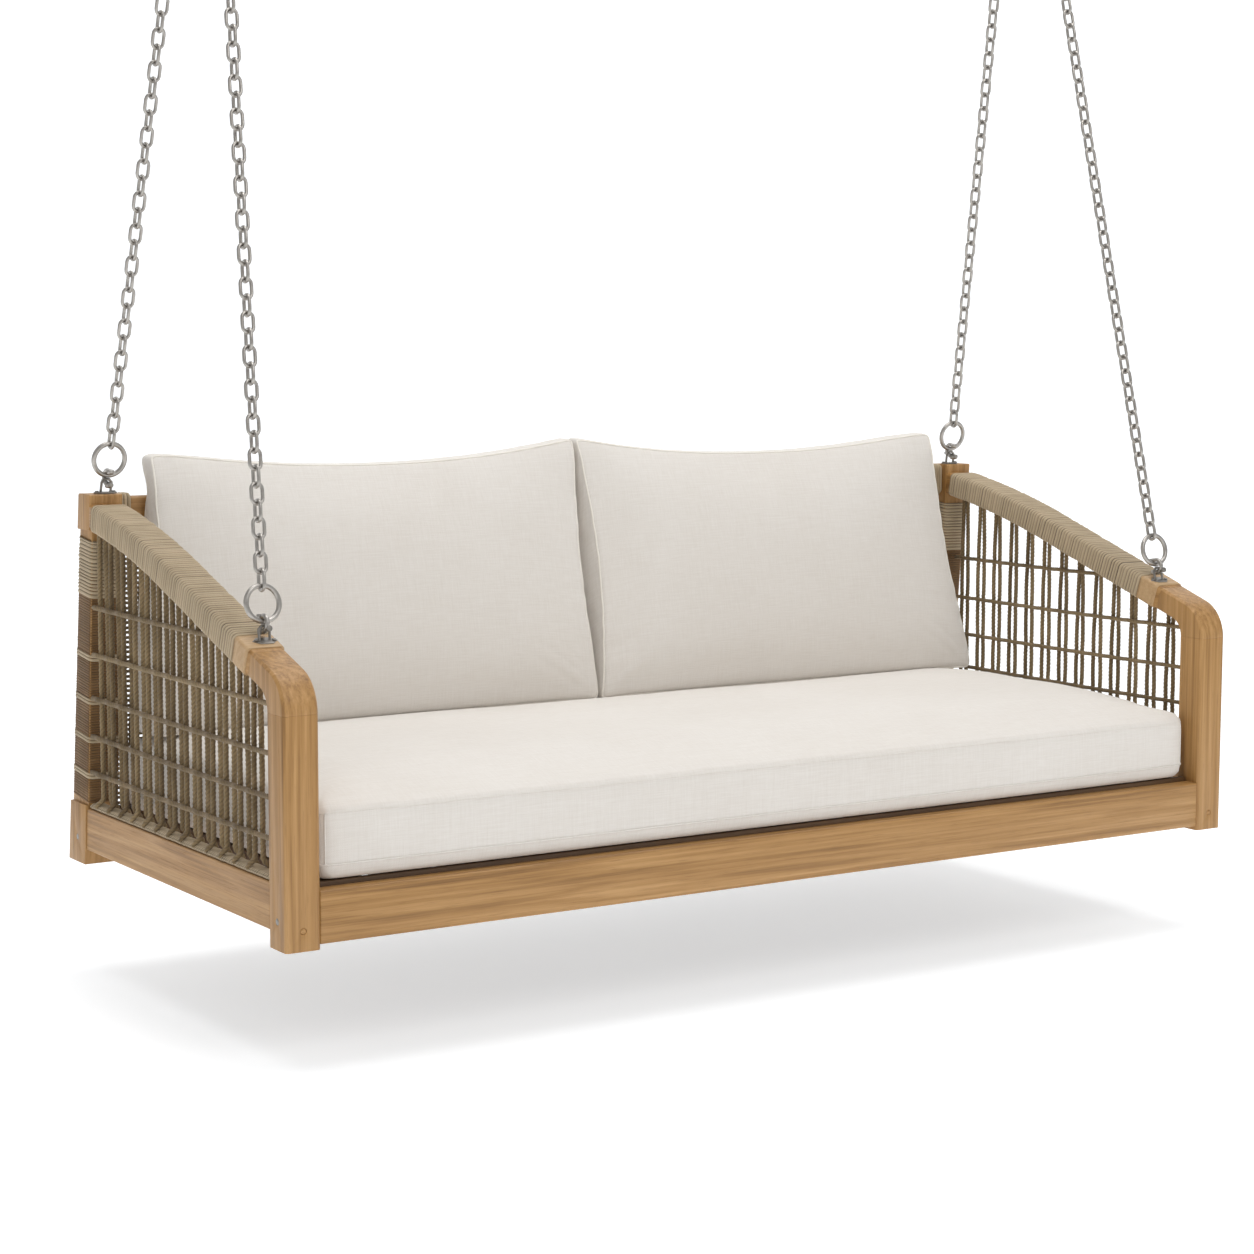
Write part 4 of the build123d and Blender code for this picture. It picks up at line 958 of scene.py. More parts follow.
@dataclass
class RopeWork:
    """All the rope of the swing: windings, side nets, back weave and rail loops."""

    finishes: Finishes
    arm: ArmLine
    arm_cord: float = 0.0072
    arm_proud: float = 0.0034
    arm_start: float = 0.004
    end_gap: float = 0.001
    post_cord: float = 0.0044
    post_proud: float = 0.0020
    post_corner: float = 0.005
    post_span: tuple[float, float] = (0.106, 0.500)
    band_cord: float = 0.0058
    band_proud: float = 0.0036
    top_band_proud: float = 0.0038
    top_band: float = 0.105
    foot_cord: float = 0.0068
    foot_proud: float = 0.0022
    foot_corner: float = 0.0045
    foot_half: tuple[float, float] = (0.0112, 0.0030)
    rope: dict[Side, float] = field(default_factory=lambda: {Side.LEFT: 0.0094, Side.RIGHT: 0.0088})
    lay: float = 0.021
    columns: int = 13
    net_margin: float = 0.01125
    pair: float = 0.0150
    pair_depth: dict[Side, float] = field(default_factory=lambda: {Side.LEFT: 0.0034, Side.RIGHT: 0.0013})
    pair_wander: float = 0.0010
    pair_waves: float = 23.0
    pair_least: float = 0.0028
    pair_foot: float = 0.012
    pair_top_gap: float = 0.002
    pair_uneven: tuple[float, float] = (-0.12, 0.15)
    pinch_share: float = 0.12
    pinch_reach: float = 0.014
    closing_share: float = 0.45
    closing_reach: float = 0.085
    tail: tuple[Triple, ...] = ((0.0125, 0.007, -0.004), (0.0100, 0.005, 0.003), (0.0060, 0.002, 0.007))
    row_heights: tuple[float, ...] = (0.430, 0.352, 0.280, 0.216, 0.156)
    row_rope_share: float = 0.92
    row_step: float = 0.002
    row_sag: float = 0.0015
    row_knot: float = 0.011
    row_knot_up: float = 0.0012
    row_off: float = 0.0032
    row_knot_off: float = 0.0040
    band_turns: int = 3
    strap_width: float = 0.040
    strap_end: float = 0.006
    strap_proud: float = 0.0019
    strap_corner: float = 0.0052
    back_rows: int = 57
    back_row_rope: float = 0.0054
    back_weave: float = 0.0022
    back_warps: int = 24
    back_warp_rope: float = 0.0068
    back_warp_gap: float = 0.004
    back_warp_depth: float = 0.0042
    rail_loop_count: int = 13
    rail_loop_rope: float = 0.0062
    rail_loop_gap: float = 0.0063
    rail_loop_off: float = 0.0032
    rail_loop_corner: float = 0.007
    rail_loop_inset: float = 0.007
    post_foot_depth: float = 0.070
    post_top_depth: float = 0.048
    post_rake: float = 0.073
    post_height: float = 0.614
    post_width: float = 0.056
    post_waist: float = 0.005

    def __post_init__(self) -> None:
        """Take the levels from the solids."""
        low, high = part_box("left_rear_post")
        self.foot_z = low.z
        self.rear_y = high.y
        self.arm_x = (low.x + high.x) / 2
        self.rng = np.random.default_rng(SEED)

    def post_faces(self, height: np.ndarray) -> tuple[np.ndarray, np.ndarray]:
        """Give the Y of the rear post's front and rear face at heights above the feet.

        Args:
            height: The heights above the feet.

        Returns:
            The Y of the front face and of the rear face.
        """
        share = np.asarray(height) / self.post_height
        rear = self.rear_y - self.post_rake * share
        depth = self.post_foot_depth + (self.post_top_depth - self.post_foot_depth) * share
        return rear - depth, rear

    def arm_winding(self, side: Side) -> None:
        """Wind the cord on an arm.

        Args:
            side: The side of the swing.
        """
        node = f"{side.word}_arm_wrap"
        low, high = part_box(node)
        y = np.linspace(low.y + self.arm_start, high.y - self.end_gap, 240)
        path = self._arm_middle(side, y)
        half = np.full_like(y, self.post_width / 2)
        tall = np.full_like(y, self.arm.thickness / 2)
        buffer = MeshBuffer()
        winding = Winding(self.arm_cord, self.arm_proud, seed=SEED + side.value)
        winding.wrap(buffer, path, X_WAY, half, tall)
        fit(buffer.build(f"{side.word}_arm_winding", self.finishes.winding), "swing_frame", "rope", node)

    def _arm_middle(self, side: Side, y: np.ndarray) -> np.ndarray:
        """Give the middle line of an arm."""
        x = np.full_like(y, -side.value * self.arm_x)
        return np.stack([x, y, self.arm.height(y, self.arm.thickness / 2)], axis=1)

    def arm_strap(self, side: Side) -> None:
        """Lay the flat strap round an arm under its eye plate, between the bend and the winding.

        Args:
            side: The side of the swing.
        """
        low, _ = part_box(f"{side.word}_arm_wrap")
        front = low.y + self.arm_start - self.strap_width
        y = np.linspace(front, low.y + self.strap_end, 8)
        up = np.array([0.0, -math.sin(self.arm.slope), math.cos(self.arm.slope)])
        half = self.post_width / 2 + self.strap_proud
        tall = self.arm.thickness / 2 + self.strap_proud
        outline = Path.rounded_box(half, tall, self.strap_corner, 6)
        ring = outline[:, :1] * X_WAY + outline[:, 1:] * up
        scale = np.array([0.9, 0.985, 1.0, 1.0, 1.0, 1.0, 0.985, 0.9])
        places = self._arm_middle(side, y)[[0, 0, 1, 2, 5, 6, 7, 7]]
        rows = places[:, None, :] + ring[None] * scale[:, None, None]
        buffer = MeshBuffer()
        buffer.grid(rows)
        piece = buffer.build(f"{side.word}_arm_strap", self.finishes.strap)
        fit(piece, "swing_frame", "timber")

    def post_line(self, side: Side, bottom: float, top: float, count: int) -> tuple[np.ndarray, ...]:
        """Give what a winding takes for a rear post between two heights.

        Args:
            side: Which post.
            bottom: The lower height above the feet.
            top: The upper height above the feet.
            count: Points on the line.

        Returns:
            The middle line, the direction of the width, half the width and half the depth.
        """
        height = np.linspace(bottom, top, count)
        front, rear = self.post_faces(height)
        x = np.full_like(height, -side.value * (self.arm_x + self.post_waist / 2))
        path = np.stack([x, (front + rear) / 2, self.foot_z + height], axis=1)
        half = np.full_like(height, (self.post_width - self.post_waist) / 2)
        return path, X_WAY, half, (rear - front) / 2

    def post_windings(self, side: Side) -> None:
        """Wind fine cord on a rear post, and rope bands over it where the net's rows tie on.

        Args:
            side: The side of the swing.
        """
        fine = MeshBuffer()
        winding = Winding(self.post_cord, self.post_proud, self.post_corner, SEED + 3)
        winding.wrap(fine, *self.post_line(side, *self.post_span, 80))
        fit(fine.build(f"{side.word}_post_winding", self.finishes.brown), "swing_frame", "rope")
        node = f"{side.word}_post_bands"
        _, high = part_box(node)
        top = high.z - self.foot_z
        bands = MeshBuffer()
        winding = Winding(self.band_cord, self.top_band_proud, seed=SEED + 5)
        winding.wrap(bands, *self.post_line(side, top - self.top_band, top, 40))
        half = self.band_cord * (self.band_turns + 1) / 2
        winding = Winding(self.band_cord, self.band_proud, seed=SEED + 7)
        for height in self.row_heights[1:]:
            winding.wrap(bands, *self.post_line(side, height - half, height + half, 12))
        fit(bands.build(f"{side.word}_post_rope_bands", self.finishes.winding), "swing_frame", "rope", node)

    def foot_rope(self, side: Side) -> None:
        """Wind the rope that the net stands on, along the side rail.

        Args:
            side: The side of the swing.
        """
        node = f"{side.word}_foot_rope"
        low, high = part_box(node)
        y = np.linspace(low.y + self.end_gap, high.y - self.end_gap, 60)
        x = np.full_like(y, (low.x + high.x) / 2)
        path = np.stack([x, y, np.full_like(y, (low.z + high.z) / 2)], axis=1)
        half, tall = (np.full_like(y, value) for value in self.foot_half)
        buffer = MeshBuffer()
        winding = Winding(self.foot_cord, self.foot_proud, self.foot_corner, SEED + 9)
        winding.wrap(buffer, path, X_WAY, half, tall)
        piece = buffer.build(f"{side.word}_foot_rope_winding", self.finishes.winding)
        fit(piece, "swing_frame", "rope", node)

    def net(self, side: Side) -> None:
        """Make the side net: uprights in pairs that close in at each row, and the rows.

        Args:
            side: The side of the swing.
        """
        low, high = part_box(f"{side.word}_net_rows")
        net_x = (low.x + high.x) / 2
        _, foot_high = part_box(f"{side.word}_foot_rope")
        first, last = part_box(f"{side.word}_net_uprights")
        spots = np.linspace(first.y + self.net_margin, last.y - self.net_margin, self.columns)
        uprights = MeshBuffer()
        for middle_y in spots:
            for leg in (-1, 1):
                path = self._upright(net_x, middle_y, leg, self.pair_depth[side], foot_high.z)
                uprights.rope(path, self.rope[side] / 2, self.lay, phase=self.rng.uniform(0.0, math.tau))
        piece = uprights.build(f"{side.word}_net_upright_ropes", self.finishes.net)
        fit(piece, "swing_frame", "rope", f"{side.word}_net_uprights")
        rows = MeshBuffer()
        for height in self.row_heights:
            line = self._row(net_x - self.pair_depth[side], height, spots)
            radius = self.rope[side] / 2 * self.row_rope_share
            rows.rope(line, radius, self.lay, phase=self.rng.uniform(0.0, math.tau))
        piece = rows.build(f"{side.word}_net_row_ropes", self.finishes.net)
        fit(piece, "swing_frame", "rope", f"{side.word}_net_rows")

    def _upright(self, net_x: float, middle_y: float, leg: int, depth: float, foot: float) -> np.ndarray:
        """Give the line of one rope of an upright pair.

        Args:
            net_x: The X of the net.
            middle_y: The Y of the pair.
            leg: The front rope (-1) or the rear rope (1).
            depth: How far each rope lies from the net's middle.
            foot: The Z that the pair stands on.

        Returns:
            The line, from the foot up.
        """
        y_out = self.pair / 2
        top = float(self.arm.height(np.array(middle_y), self.arm.thickness)) - self.pair_top_gap
        z = np.linspace(foot + self.pair_foot, top, 110)
        pinch = np.zeros_like(z)
        for height in self.row_heights:
            pinch += np.exp(-(((z - self.foot_z - height) / self.pinch_reach) ** 2))
        closing = np.exp(-(((z - top) / self.closing_reach) ** 2))
        wander = self.rng.uniform(-self.pair_wander, self.pair_wander)
        sway = wander * np.sin((z - foot) * self.pair_waves + self.rng.uniform(0.0, 6.0))
        uneven = 1.0 + self.rng.uniform(*self.pair_uneven)
        spread = y_out * (uneven - self.pinch_share * pinch - self.closing_share * closing)
        y = middle_y + leg * np.maximum(spread, self.pair_least) + sway
        x = np.full_like(z, net_x - leg * depth)
        body = np.stack([x, y, z], axis=1)
        aside, apart, up = np.array(self.tail).T
        tail = np.stack([net_x - leg * aside, middle_y + leg * (y_out + apart), foot + up], axis=1)
        return np.concatenate([tail, body])

    def _row(self, front_x: float, height: float, spots: np.ndarray) -> np.ndarray:
        """Give the line of one row, from the front post or the arm to the rear post.

        Args:
            front_x: The X of the ropes that the row passes.
            height: The row's height above the feet.
            spots: The Y of each upright pair.

        Returns:
            The line, from the front back.
        """
        _, front_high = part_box("left_front_post")
        start = front_high.y - self.row_step
        while float(self.arm.height(np.array(start), self.arm.thickness)) < self.foot_z + height:
            start += self.row_step
        front, _ = self.post_faces(np.array(height))
        y = np.linspace(start, float(front) - self.end_gap, 240)
        away = np.abs(y[:, None] - spots[None, :] - self.pair / 2).min(1)
        near = np.exp(-((away / self.row_knot) ** 2))
        sag = self.row_sag * np.sin((y - start) * math.pi / (y[-1] - start))
        z = self.foot_z + height + self.row_knot_up * near - sag
        return np.stack([front_x - self.row_off - self.row_knot_off * near, y, z], axis=1)

    def back(self) -> None:
        """Weave the back: rows that pass in front of and behind the upright cords."""
        rail_low, rail_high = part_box("rear_rail")
        top_low, top_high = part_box("top_back_rail")
        start = np.array([0.0, (rail_low.y + rail_high.y) / 2, rail_high.z])
        end = np.array([0.0, (top_low.y + top_high.y) / 2, top_low.z])
        half = -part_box("back_rows")[0].x
        step = 2 * half / self.back_warps
        normal = np.cross(X_WAY, end - start)
        normal /= np.linalg.norm(normal)
        x = np.linspace(-half, half, self.back_warps * 8 + 1)
        weave = MeshBuffer()
        for row in range(1, self.back_rows + 1):
            base = start + (end - start) * (row / (self.back_rows + 1))
            phase = math.pi * (row % 2)
            swing = self.back_weave * np.sin(math.pi * (x + half) / step - math.pi / 2 + phase)
            weave.tube(base + x[:, None] * X_WAY + swing[:, None] * normal, self.back_row_rope / 2, 6)
        fit(weave.build("back_row_ropes", self.finishes.net), "swing_frame", "rope", "back_rows")
        warps = MeshBuffer()
        line = start + (end - start) * np.linspace(0.0, 1.0, 60)[:, None]
        for k in range(self.back_warps):
            for leg in (-1, 1):
                place = X_WAY * (-half + step * (k + 0.5) + leg * self.back_warp_gap)
                path = line + place + normal * leg * self.back_warp_depth
                warps.rope(path, self.back_warp_rope / 2, self.lay)
        fit(warps.build("back_upright_ropes", self.finishes.net), "swing_frame", "rope", "back_warps")

    def rail_loops(self) -> None:
        """Loop rope round the top back rail."""
        low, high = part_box("top_back_rail")
        node = "top_rail_loops"
        first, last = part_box(node)
        inset = self.rail_loop_inset
        places = np.linspace(first.x + inset, last.x - inset, self.rail_loop_count)
        half_deep = (high.y - low.y) / 2 + self.rail_loop_off
        half_tall = (high.z - low.z) / 2 + self.rail_loop_off
        outline = Path.rounded_box(half_deep, half_tall, self.rail_loop_corner, 5)
        y = (low.y + high.y) / 2 + outline[:, 0]
        z = (low.z + high.z) / 2 + outline[:, 1]
        loops = MeshBuffer()
        for place in places:
            for turn in (-1, 0, 1):
                x = np.full_like(y, place + turn * self.rail_loop_gap)
                loops.tube(np.stack([x, y, z], axis=1), self.rail_loop_rope / 2, 7, True)
        fit(loops.build("top_rail_rope_loops", self.finishes.winding), "swing_frame", "rope", node)

    def build(self) -> None:
        """Make all the rope work."""
        for side in Side:
            self.arm_winding(side)
            self.arm_strap(side)
            self.post_windings(side)
            self.foot_rope(side)
            self.net(side)
        self.back()
        self.rail_loops()


@dataclass
class IronWork:
    """Chains, rings and shackles with round wire, set where their solids are."""

    finishes: Finishes
    link_wire: float = 0.0055
    link_width: float = 0.0235
    ring_wire: float = 0.008
    top_ring_wire: float = 0.009
    shackle_wire: float = 0.007
    shackle_eye: float = 0.006
    wire_sides: int = 10
    ring_sides: int = 14
    ring_points: int = 48
    eye_sides: int = 16
    eye_across: tuple[float, ...] = (-0.5, -0.5, -0.42, 0.42, 0.5, 0.5)
    eye_radii: tuple[float, ...] = (0.3, 0.82, 1.0, 1.0, 0.82, 0.3)

    @staticmethod
    def loose_parts(node: str) -> list[np.ndarray]:
        """Give the points of each separate solid of a node.

        Args:
            node: The node's name.

        Returns:
            One array of points for each solid.
        """
        work = bmesh.new()
        work.from_mesh(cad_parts[node].data)
        bmesh.ops.remove_doubles(work, verts=work.verts, dist=WELD)
        work.verts.ensure_lookup_table()
        seen: set[int] = set()
        parts = []
        for start in work.verts:
            if start.index in seen:
                continue
            stack = [start]
            seen.add(start.index)
            found = []
            while stack:
                vert = stack.pop()
                found.append(vert.co[:])
                for edge in vert.link_edges:
                    other = edge.other_vert(vert)
                    if other.index not in seen:
                        seen.add(other.index)
                        stack.append(other)
            parts.append(np.array(found))
        work.free()
        return parts

    @staticmethod
    def axes(points: np.ndarray) -> tuple[np.ndarray, np.ndarray, np.ndarray]:
        """Give the middle, the axes from longest to thinnest, and the sizes along them.

        Args:
            points: The points of a solid.

        Returns:
            The middle, the axes as rows, and the sizes.
        """
        rough = points.mean(0)
        axes = np.linalg.svd(points - rough, full_matrices=False)[2]
        if axes[0][2] < 0:
            axes[0] = -axes[0]
        local = (points - rough) @ axes.T
        low, high = local.min(0), local.max(0)
        return rough + ((low + high) / 2) @ axes, axes, high - low

    @staticmethod
    def laid(line: np.ndarray, centre: np.ndarray, axes: np.ndarray) -> np.ndarray:
        """Lay a flat line, given along the two longer axes, where a solid is."""
        return centre + line[:, :1] * axes[0] + line[:, 1:] * axes[1]

    def stadium(self, long: float) -> np.ndarray:
        """Give the middle line of an oval link as an array of long and wide places.

        Args:
            long: The link's outside length.

        Returns:
            The long and the wide place of each point, in order.
        """
        radius = (self.link_width - self.link_wire) / 2
        reach = (long - self.link_width) / 2
        turns = np.linspace(0.0, math.pi, 9)
        upper = np.stack([reach + radius * np.sin(turns), radius * np.cos(turns)], axis=1)
        sides = np.array([[0.0, -radius]])
        return np.concatenate([upper, sides, -upper, -sides])

    def chain(self, side: Side, chain: Chain) -> None:
        """Make the round links of a chain.

        Args:
            side: The side of the swing.
            chain: The front or the rear chain.
        """
        node = f"{side.word}_{chain.value}_chain"
        buffer = MeshBuffer()
        for points in self.loose_parts(node):
            centre, axes, size = self.axes(points)
            path = self.laid(self.stadium(size[0]), centre, axes)
            buffer.tube(path, self.link_wire / 2, self.wire_sides, True)
        fit(buffer.build(f"{node}_links", self.finishes.steel), f"{side.word}_chains", "hardware", node)

    def rings(self, node: str, wire: float, body: str) -> None:
        """Make the round rings of a node.

        Args:
            node: The rings' node.
            wire: The wire's thickness.
            body: The body that carries them.
        """
        buffer = MeshBuffer()
        for points in self.loose_parts(node):
            centre, axes, _ = self.axes(points)
            radius = np.linalg.norm(points - centre, axis=1).min() + wire / 2
            turns = np.linspace(0.0, math.tau, self.ring_points, endpoint=False)
            circle = radius * np.stack([np.cos(turns), np.sin(turns)], axis=1)
            buffer.tube(self.laid(circle, centre, axes), wire / 2, self.ring_sides, True)
        fit(buffer.build(f"{node}_round", self.finishes.steel), body, "hardware", node)

    def shackles(self) -> None:
        """Make the bows of the shackles and the eyes at their feet."""
        buffer = MeshBuffer()
        for points in self.loose_parts("shackles"):
            centre, axes, size = self.axes(points)
            top = size[0] / 2 - self.shackle_wire / 2
            foot = -size[0] / 2 + self.shackle_eye
            radius = (size[1] - self.shackle_wire) / 2
            turns = np.linspace(0.0, math.pi, 13)
            bow = np.stack([top - radius + radius * np.sin(turns), radius * np.cos(turns)], axis=1)
            line = np.concatenate([[[foot, radius]], bow, [[foot, -radius]]])
            buffer.tube(self.laid(line, centre, axes), self.shackle_wire / 2, self.wire_sides)
            across = np.array(self.eye_across)[:, None] * self.shackle_wire
            radii = np.array(self.eye_radii) * self.shackle_eye
            for leg in (-1, 1):
                spots = centre + foot * axes[0] + (leg * radius + across) * axes[1]
                spots = spots + WELD * np.arange(len(across))[:, None] * axes[1]
                buffer.section(spots, np.repeat(radii[:, None], self.eye_sides, 1))
        fit(buffer.build("shackle_bows", self.finishes.steel), "swing_frame", "hardware", "shackles")

    def build(self) -> None:
        """Make all the steel that is round."""
        for side in Side:
            body = f"{side.word}_chains"
            for chain in Chain:
                self.chain(side, chain)
            self.rings(f"{side.word}_lower_rings", self.ring_wire, body)
            self.rings(f"{side.word}_top_ring", self.top_ring_wire, body)
        self.shackles()


@dataclass
class SoftBox:
    """A stuffed box of cloth: six panels with round edges, bent into shape by a function."""

    wide: float
    deep: float
    tall: float
    edge: float
    cell: float
    shape: Callable[[np.ndarray], np.ndarray]
    edge_steps: int = 5
    seam_points: int = 120

    @property
    def half(self) -> np.ndarray:
        """Give half the box's size."""
        return np.array([self.wide, self.deep, self.tall]) / 2

    def _ticks(self, half: float) -> np.ndarray:
        """Give places along an axis, close together at the edges.

        Args:
            half: Half the box's size along the axis.

        Returns:
            The places, from low to high.
        """
        flat = half - self.edge
        count = max(4, int(round(2 * flat / self.cell)))
        turns = np.radians(np.arange(1, self.edge_steps + 1) * 45.0 / self.edge_steps)
        over = self.edge * np.tan(turns)
        return np.concatenate([-flat - over[::-1], np.linspace(-flat, flat, count + 1), flat + over])

    def rounded(self, spots: np.ndarray) -> np.ndarray:
        """Move points of the sharp box onto the box with round edges.

        Args:
            spots: Points on the sharp box.

        Returns:
            The moved points.
        """
        core = self.half - self.edge
        inner = np.clip(spots, -core, core)
        out = spots - inner
        length = np.maximum(np.linalg.norm(out, axis=-1, keepdims=True), TINY)
        return inner + out / length * self.edge

    def fill(self, buffer: MeshBuffer) -> None:
        """Add the six panels to a mesh.

        Args:
            buffer: The mesh that takes the panels.
        """
        half = self.half
        ticks = [self._ticks(value) for value in half]
        for axis in range(3):
            first, second = [k for k in range(3) if k != axis]
            a, b = np.meshgrid(ticks[first], ticks[second], indexing="ij")
            for sign in (-1, 1):
                spots = np.empty(a.shape + (3,))
                spots[..., first] = a
                spots[..., second] = b
                spots[..., axis] = sign * half[axis]
                made = self.shape(self.rounded(spots).reshape(-1, 3)).reshape(spots.shape)
                buffer.grid(made, False)

    def seam(self, axis: int, sign: int, inset: float) -> np.ndarray:
        """Give the line of a panel's edge seam.

        Args:
            axis: The axis that the panel faces along.
            sign: Which of the two panels.
            inset: How far the seam lies from the sharp edge, on the panel beside it.

        Returns:
            The closed line.
        """
        half = self.half
        first, second = [k for k in range(3) if k != axis]
        corners = [(-1, -1), (1, -1), (1, 1), (-1, 1)]
        spots = []
        for k, start in enumerate(corners):
            end = corners[(k + 1) % 4]
            for share in np.linspace(0.0, 1.0, self.seam_points, endpoint=False):
                spot = np.zeros(3)
                spot[first] = half[first] * (start[0] + (end[0] - start[0]) * share)
                spot[second] = half[second] * (start[1] + (end[1] - start[1]) * share)
                spot[axis] = sign * (half[axis] - inset)
                spots.append(spot)
        return self.shape(self.rounded(np.array(spots)))


@dataclass
class Cushions:
    """The box seat cushion and the two back cushions."""

    finishes: Finishes
    lift: float = 0.0003
    seat_cell: float = 0.011
    seat_edge: float = 0.021
    seat_margin: float = 0.008
    seat_full_crown: float = 0.026
    seat_low_seam: float = 0.026
    seat_high_seam: float = 0.017
    seat_over: float = 0.003
    seat_bulge: float = 0.006
    seat_end_bulge: float = 0.003
    seat_sink: float = 0.014
    seat_ripple: float = 0.0008
    back_cell: float = 0.009
    back_voxel: float = 0.006
    back_edge: float = 0.014
    back_box_depth: float = 0.08
    back_full_crown: float = 0.032
    back_seam: float = 0.003
    back_over: float = 0.012
    foot_layer: float = 0.012
    top_layer: float = 0.03
    foot_fill: float = 0.010
    corner_thin: float = 0.012
    outer_drop: float = 0.010
    ear_out: float = 0.0035
    ear_down: float = 0.005
    crease: float = 0.003
    tuck: float = 0.0016
    dip: float = 0.036
    seam_wire: float = 0.0018
    seam_sides: int = 6
    seam_proud: float = 0.0004
    corner_seam: float = 0.010
    end_lean: float = math.radians(5.0)
    outer_pull: float = 0.014
    inner_pull: dict[Side, float] = field(default_factory=lambda: {Side.LEFT: 0.012, Side.RIGHT: 0.019})
    cloth_frames: int = 20
    cloth_pressure: float = 4.0
    cloth_tension: float = 20.0
    cloth_compression: float = 12.0
    cloth_bending: float = 0.3
    swell_cap: float = 0.014
    swell_back: float = 0.001
    full_swell_room: float = 0.009
    hold_reach: float = 1.1
    still_foot: float = 0.03

    def __post_init__(self) -> None:
        """Leave room for the stuffing to swell into, if it is simulated."""
        self.swell_room = self.full_swell_room

    @staticmethod
    def points_of(mesh: bpy.types.Mesh) -> np.ndarray:
        """Give the points of a mesh.

        Args:
            mesh: The mesh.

        Returns:
            The points, one in each row.
        """
        flat = np.empty(len(mesh.vertices) * 3)
        mesh.vertices.foreach_get("co", flat)
        return flat.reshape(-1, 3)

    def swell(self, piece: bpy.types.Object, voxel: float, seams: Sequence[np.ndarray], low: np.ndarray,
              high: np.ndarray) -> None:
        """Let a cover swell by cloth simulation, and keep the result.

        Args:
            piece: The cover, not placed on its body yet.
            voxel: Size of the even cells that the cover is cut into first.
            seams: Lines that hold the cover in place.
            low: Lower corner of the box that the cover keeps inside.
            high: Upper corner of that box.
        """
        scene = bpy.context.scene
        even = piece.modifiers.new("even_cells", "REMESH")
        even.mode = "VOXEL"
        even.voxel_size = voxel
        cover = bpy.data.meshes.new_from_object(piece.evaluated_get(bpy.context.evaluated_depsgraph_get()))
        piece.modifiers.clear()
        piece.data = cover
        start = self.points_of(cover)
        gap = np.full(len(start), np.inf)
        for point in np.concatenate(seams):
            gap = np.minimum(gap, ((start - point) ** 2).sum(1))
        held = piece.vertex_groups.new(name="seams")
        near = gap < (voxel * self.hold_reach) ** 2
        held.add(np.flatnonzero(near).tolist(), 1.0, "REPLACE")
        cloth = piece.modifiers.new("stuffing", "CLOTH")
        cloth.settings.vertex_group_mass = held.name
        cloth.settings.use_pressure = True
        cloth.settings.uniform_pressure_force = self.cloth_pressure
        cloth.settings.effector_weights.gravity = 0.0
        cloth.settings.tension_stiffness = self.cloth_tension
        cloth.settings.compression_stiffness = self.cloth_compression
        cloth.settings.bending_stiffness = self.cloth_bending
        cloth.point_cache.frame_start = 1
        cloth.point_cache.frame_end = self.cloth_frames
        for step in range(1, self.cloth_frames + 1):
            scene.frame_set(step)
        done = self.points_of(piece.evaluated_get(bpy.context.evaluated_depsgraph_get()).data)
        piece.modifiers.clear()
        piece.vertex_groups.clear()
        scene.frame_set(1)
        move = done - start
        length = np.maximum(np.linalg.norm(move, axis=1), TINY)
        LOG.info("%s swells by up to %.1f mm", piece.name, length.max() * 1000.0)
        move *= np.minimum(1.0, self.swell_cap / length)[:, None]
        move[:, 1] = np.minimum(move[:, 1], self.swell_back)
        foot = start[:, 2] < low[2] + self.still_foot
        move[foot, 2] = np.minimum(move[foot, 2], 0.0)
        cover.vertices.foreach_set("co", np.clip(start + move, low, high).ravel())
        cover.polygons.foreach_set("use_smooth", [True] * len(cover.polygons))
        cover.update()

    def on_cover(self, piece: bpy.types.Object, line: np.ndarray, looped: bool = True) -> np.ndarray:
        """Lay a line on a cover.

        Args:
            piece: The cover.
            line: The line, close to the cover.
            looped: The line is a closed loop.

        Returns:
            The line on the cover's surface.
        """
        tree = BVHTree.FromPolygons(
            [vertex.co for vertex in piece.data.vertices], [face.vertices for face in piece.data.polygons]
        )
        laid = np.array([tree.find_nearest(Vector(point))[0][:] for point in line])
        for _ in range(3):
            eased = (np.roll(laid, 1, 0) + 2.0 * laid + np.roll(laid, -1, 0)) / 4.0
            if not looped:
                eased[[0, -1]] = laid[[0, -1]]
            laid = eased
        found = [tree.find_nearest(Vector(point)) for point in laid]
        return np.array([(spot + normal * self.seam_proud)[:] for spot, normal, _, _ in found])

    def seat_shape(self, spots: np.ndarray) -> np.ndarray:
        """Bend the seat cushion's box: crowned top, full sides.

        Args:
            spots: Points of the box about its middle.

        Returns:
            The bent points in the frame.
        """
        low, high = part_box("seat_cushion")
        wide, deep = self.seat.wide, self.seat.deep
        u = np.clip(2 * spots[:, 0] / wide, -1, 1)
        v = np.clip(2 * spots[:, 1] / deep, -1, 1)
        w = np.clip(2 * spots[:, 2] / self.seat.tall, -1, 1)
        made = spots.copy()
        made[:, 2] += self.seat_crown * (1 - v**2) * np.clip((w + 1) / 2, 0, 1)
        full = 1 - w**2
        made[:, 1] += np.sign(v) * self.seat_bulge * full * np.abs(v) ** 8 * (1 - np.abs(u) ** 8)
        made[:, 0] += np.sign(u) * self.seat_end_bulge * full * np.abs(u) ** 30 * (1 - v**4)
        rim = np.maximum(np.abs(u) ** 30, np.abs(v) ** 10)
        sink = self.seat_sink * np.clip(-w, 0, 1) ** 3 * rim
        made[:, 2] = np.maximum(made[:, 2] - sink, -self.seat.tall / 2)
        ripple = np.sin(spots[:, 0] * 21.0 + 1.3 * np.sin(spots[:, 0] * 9.0))
        ripple *= np.exp(-(1 - np.abs(v)) * 14)
        made[:, 2] += self.seat_ripple * ripple * np.clip(w, 0, 1)
        rise = low.z + self.seat.tall / 2 + self.lift
        return made + np.array([(low.x + high.x) / 2, (low.y + high.y) / 2, rise])

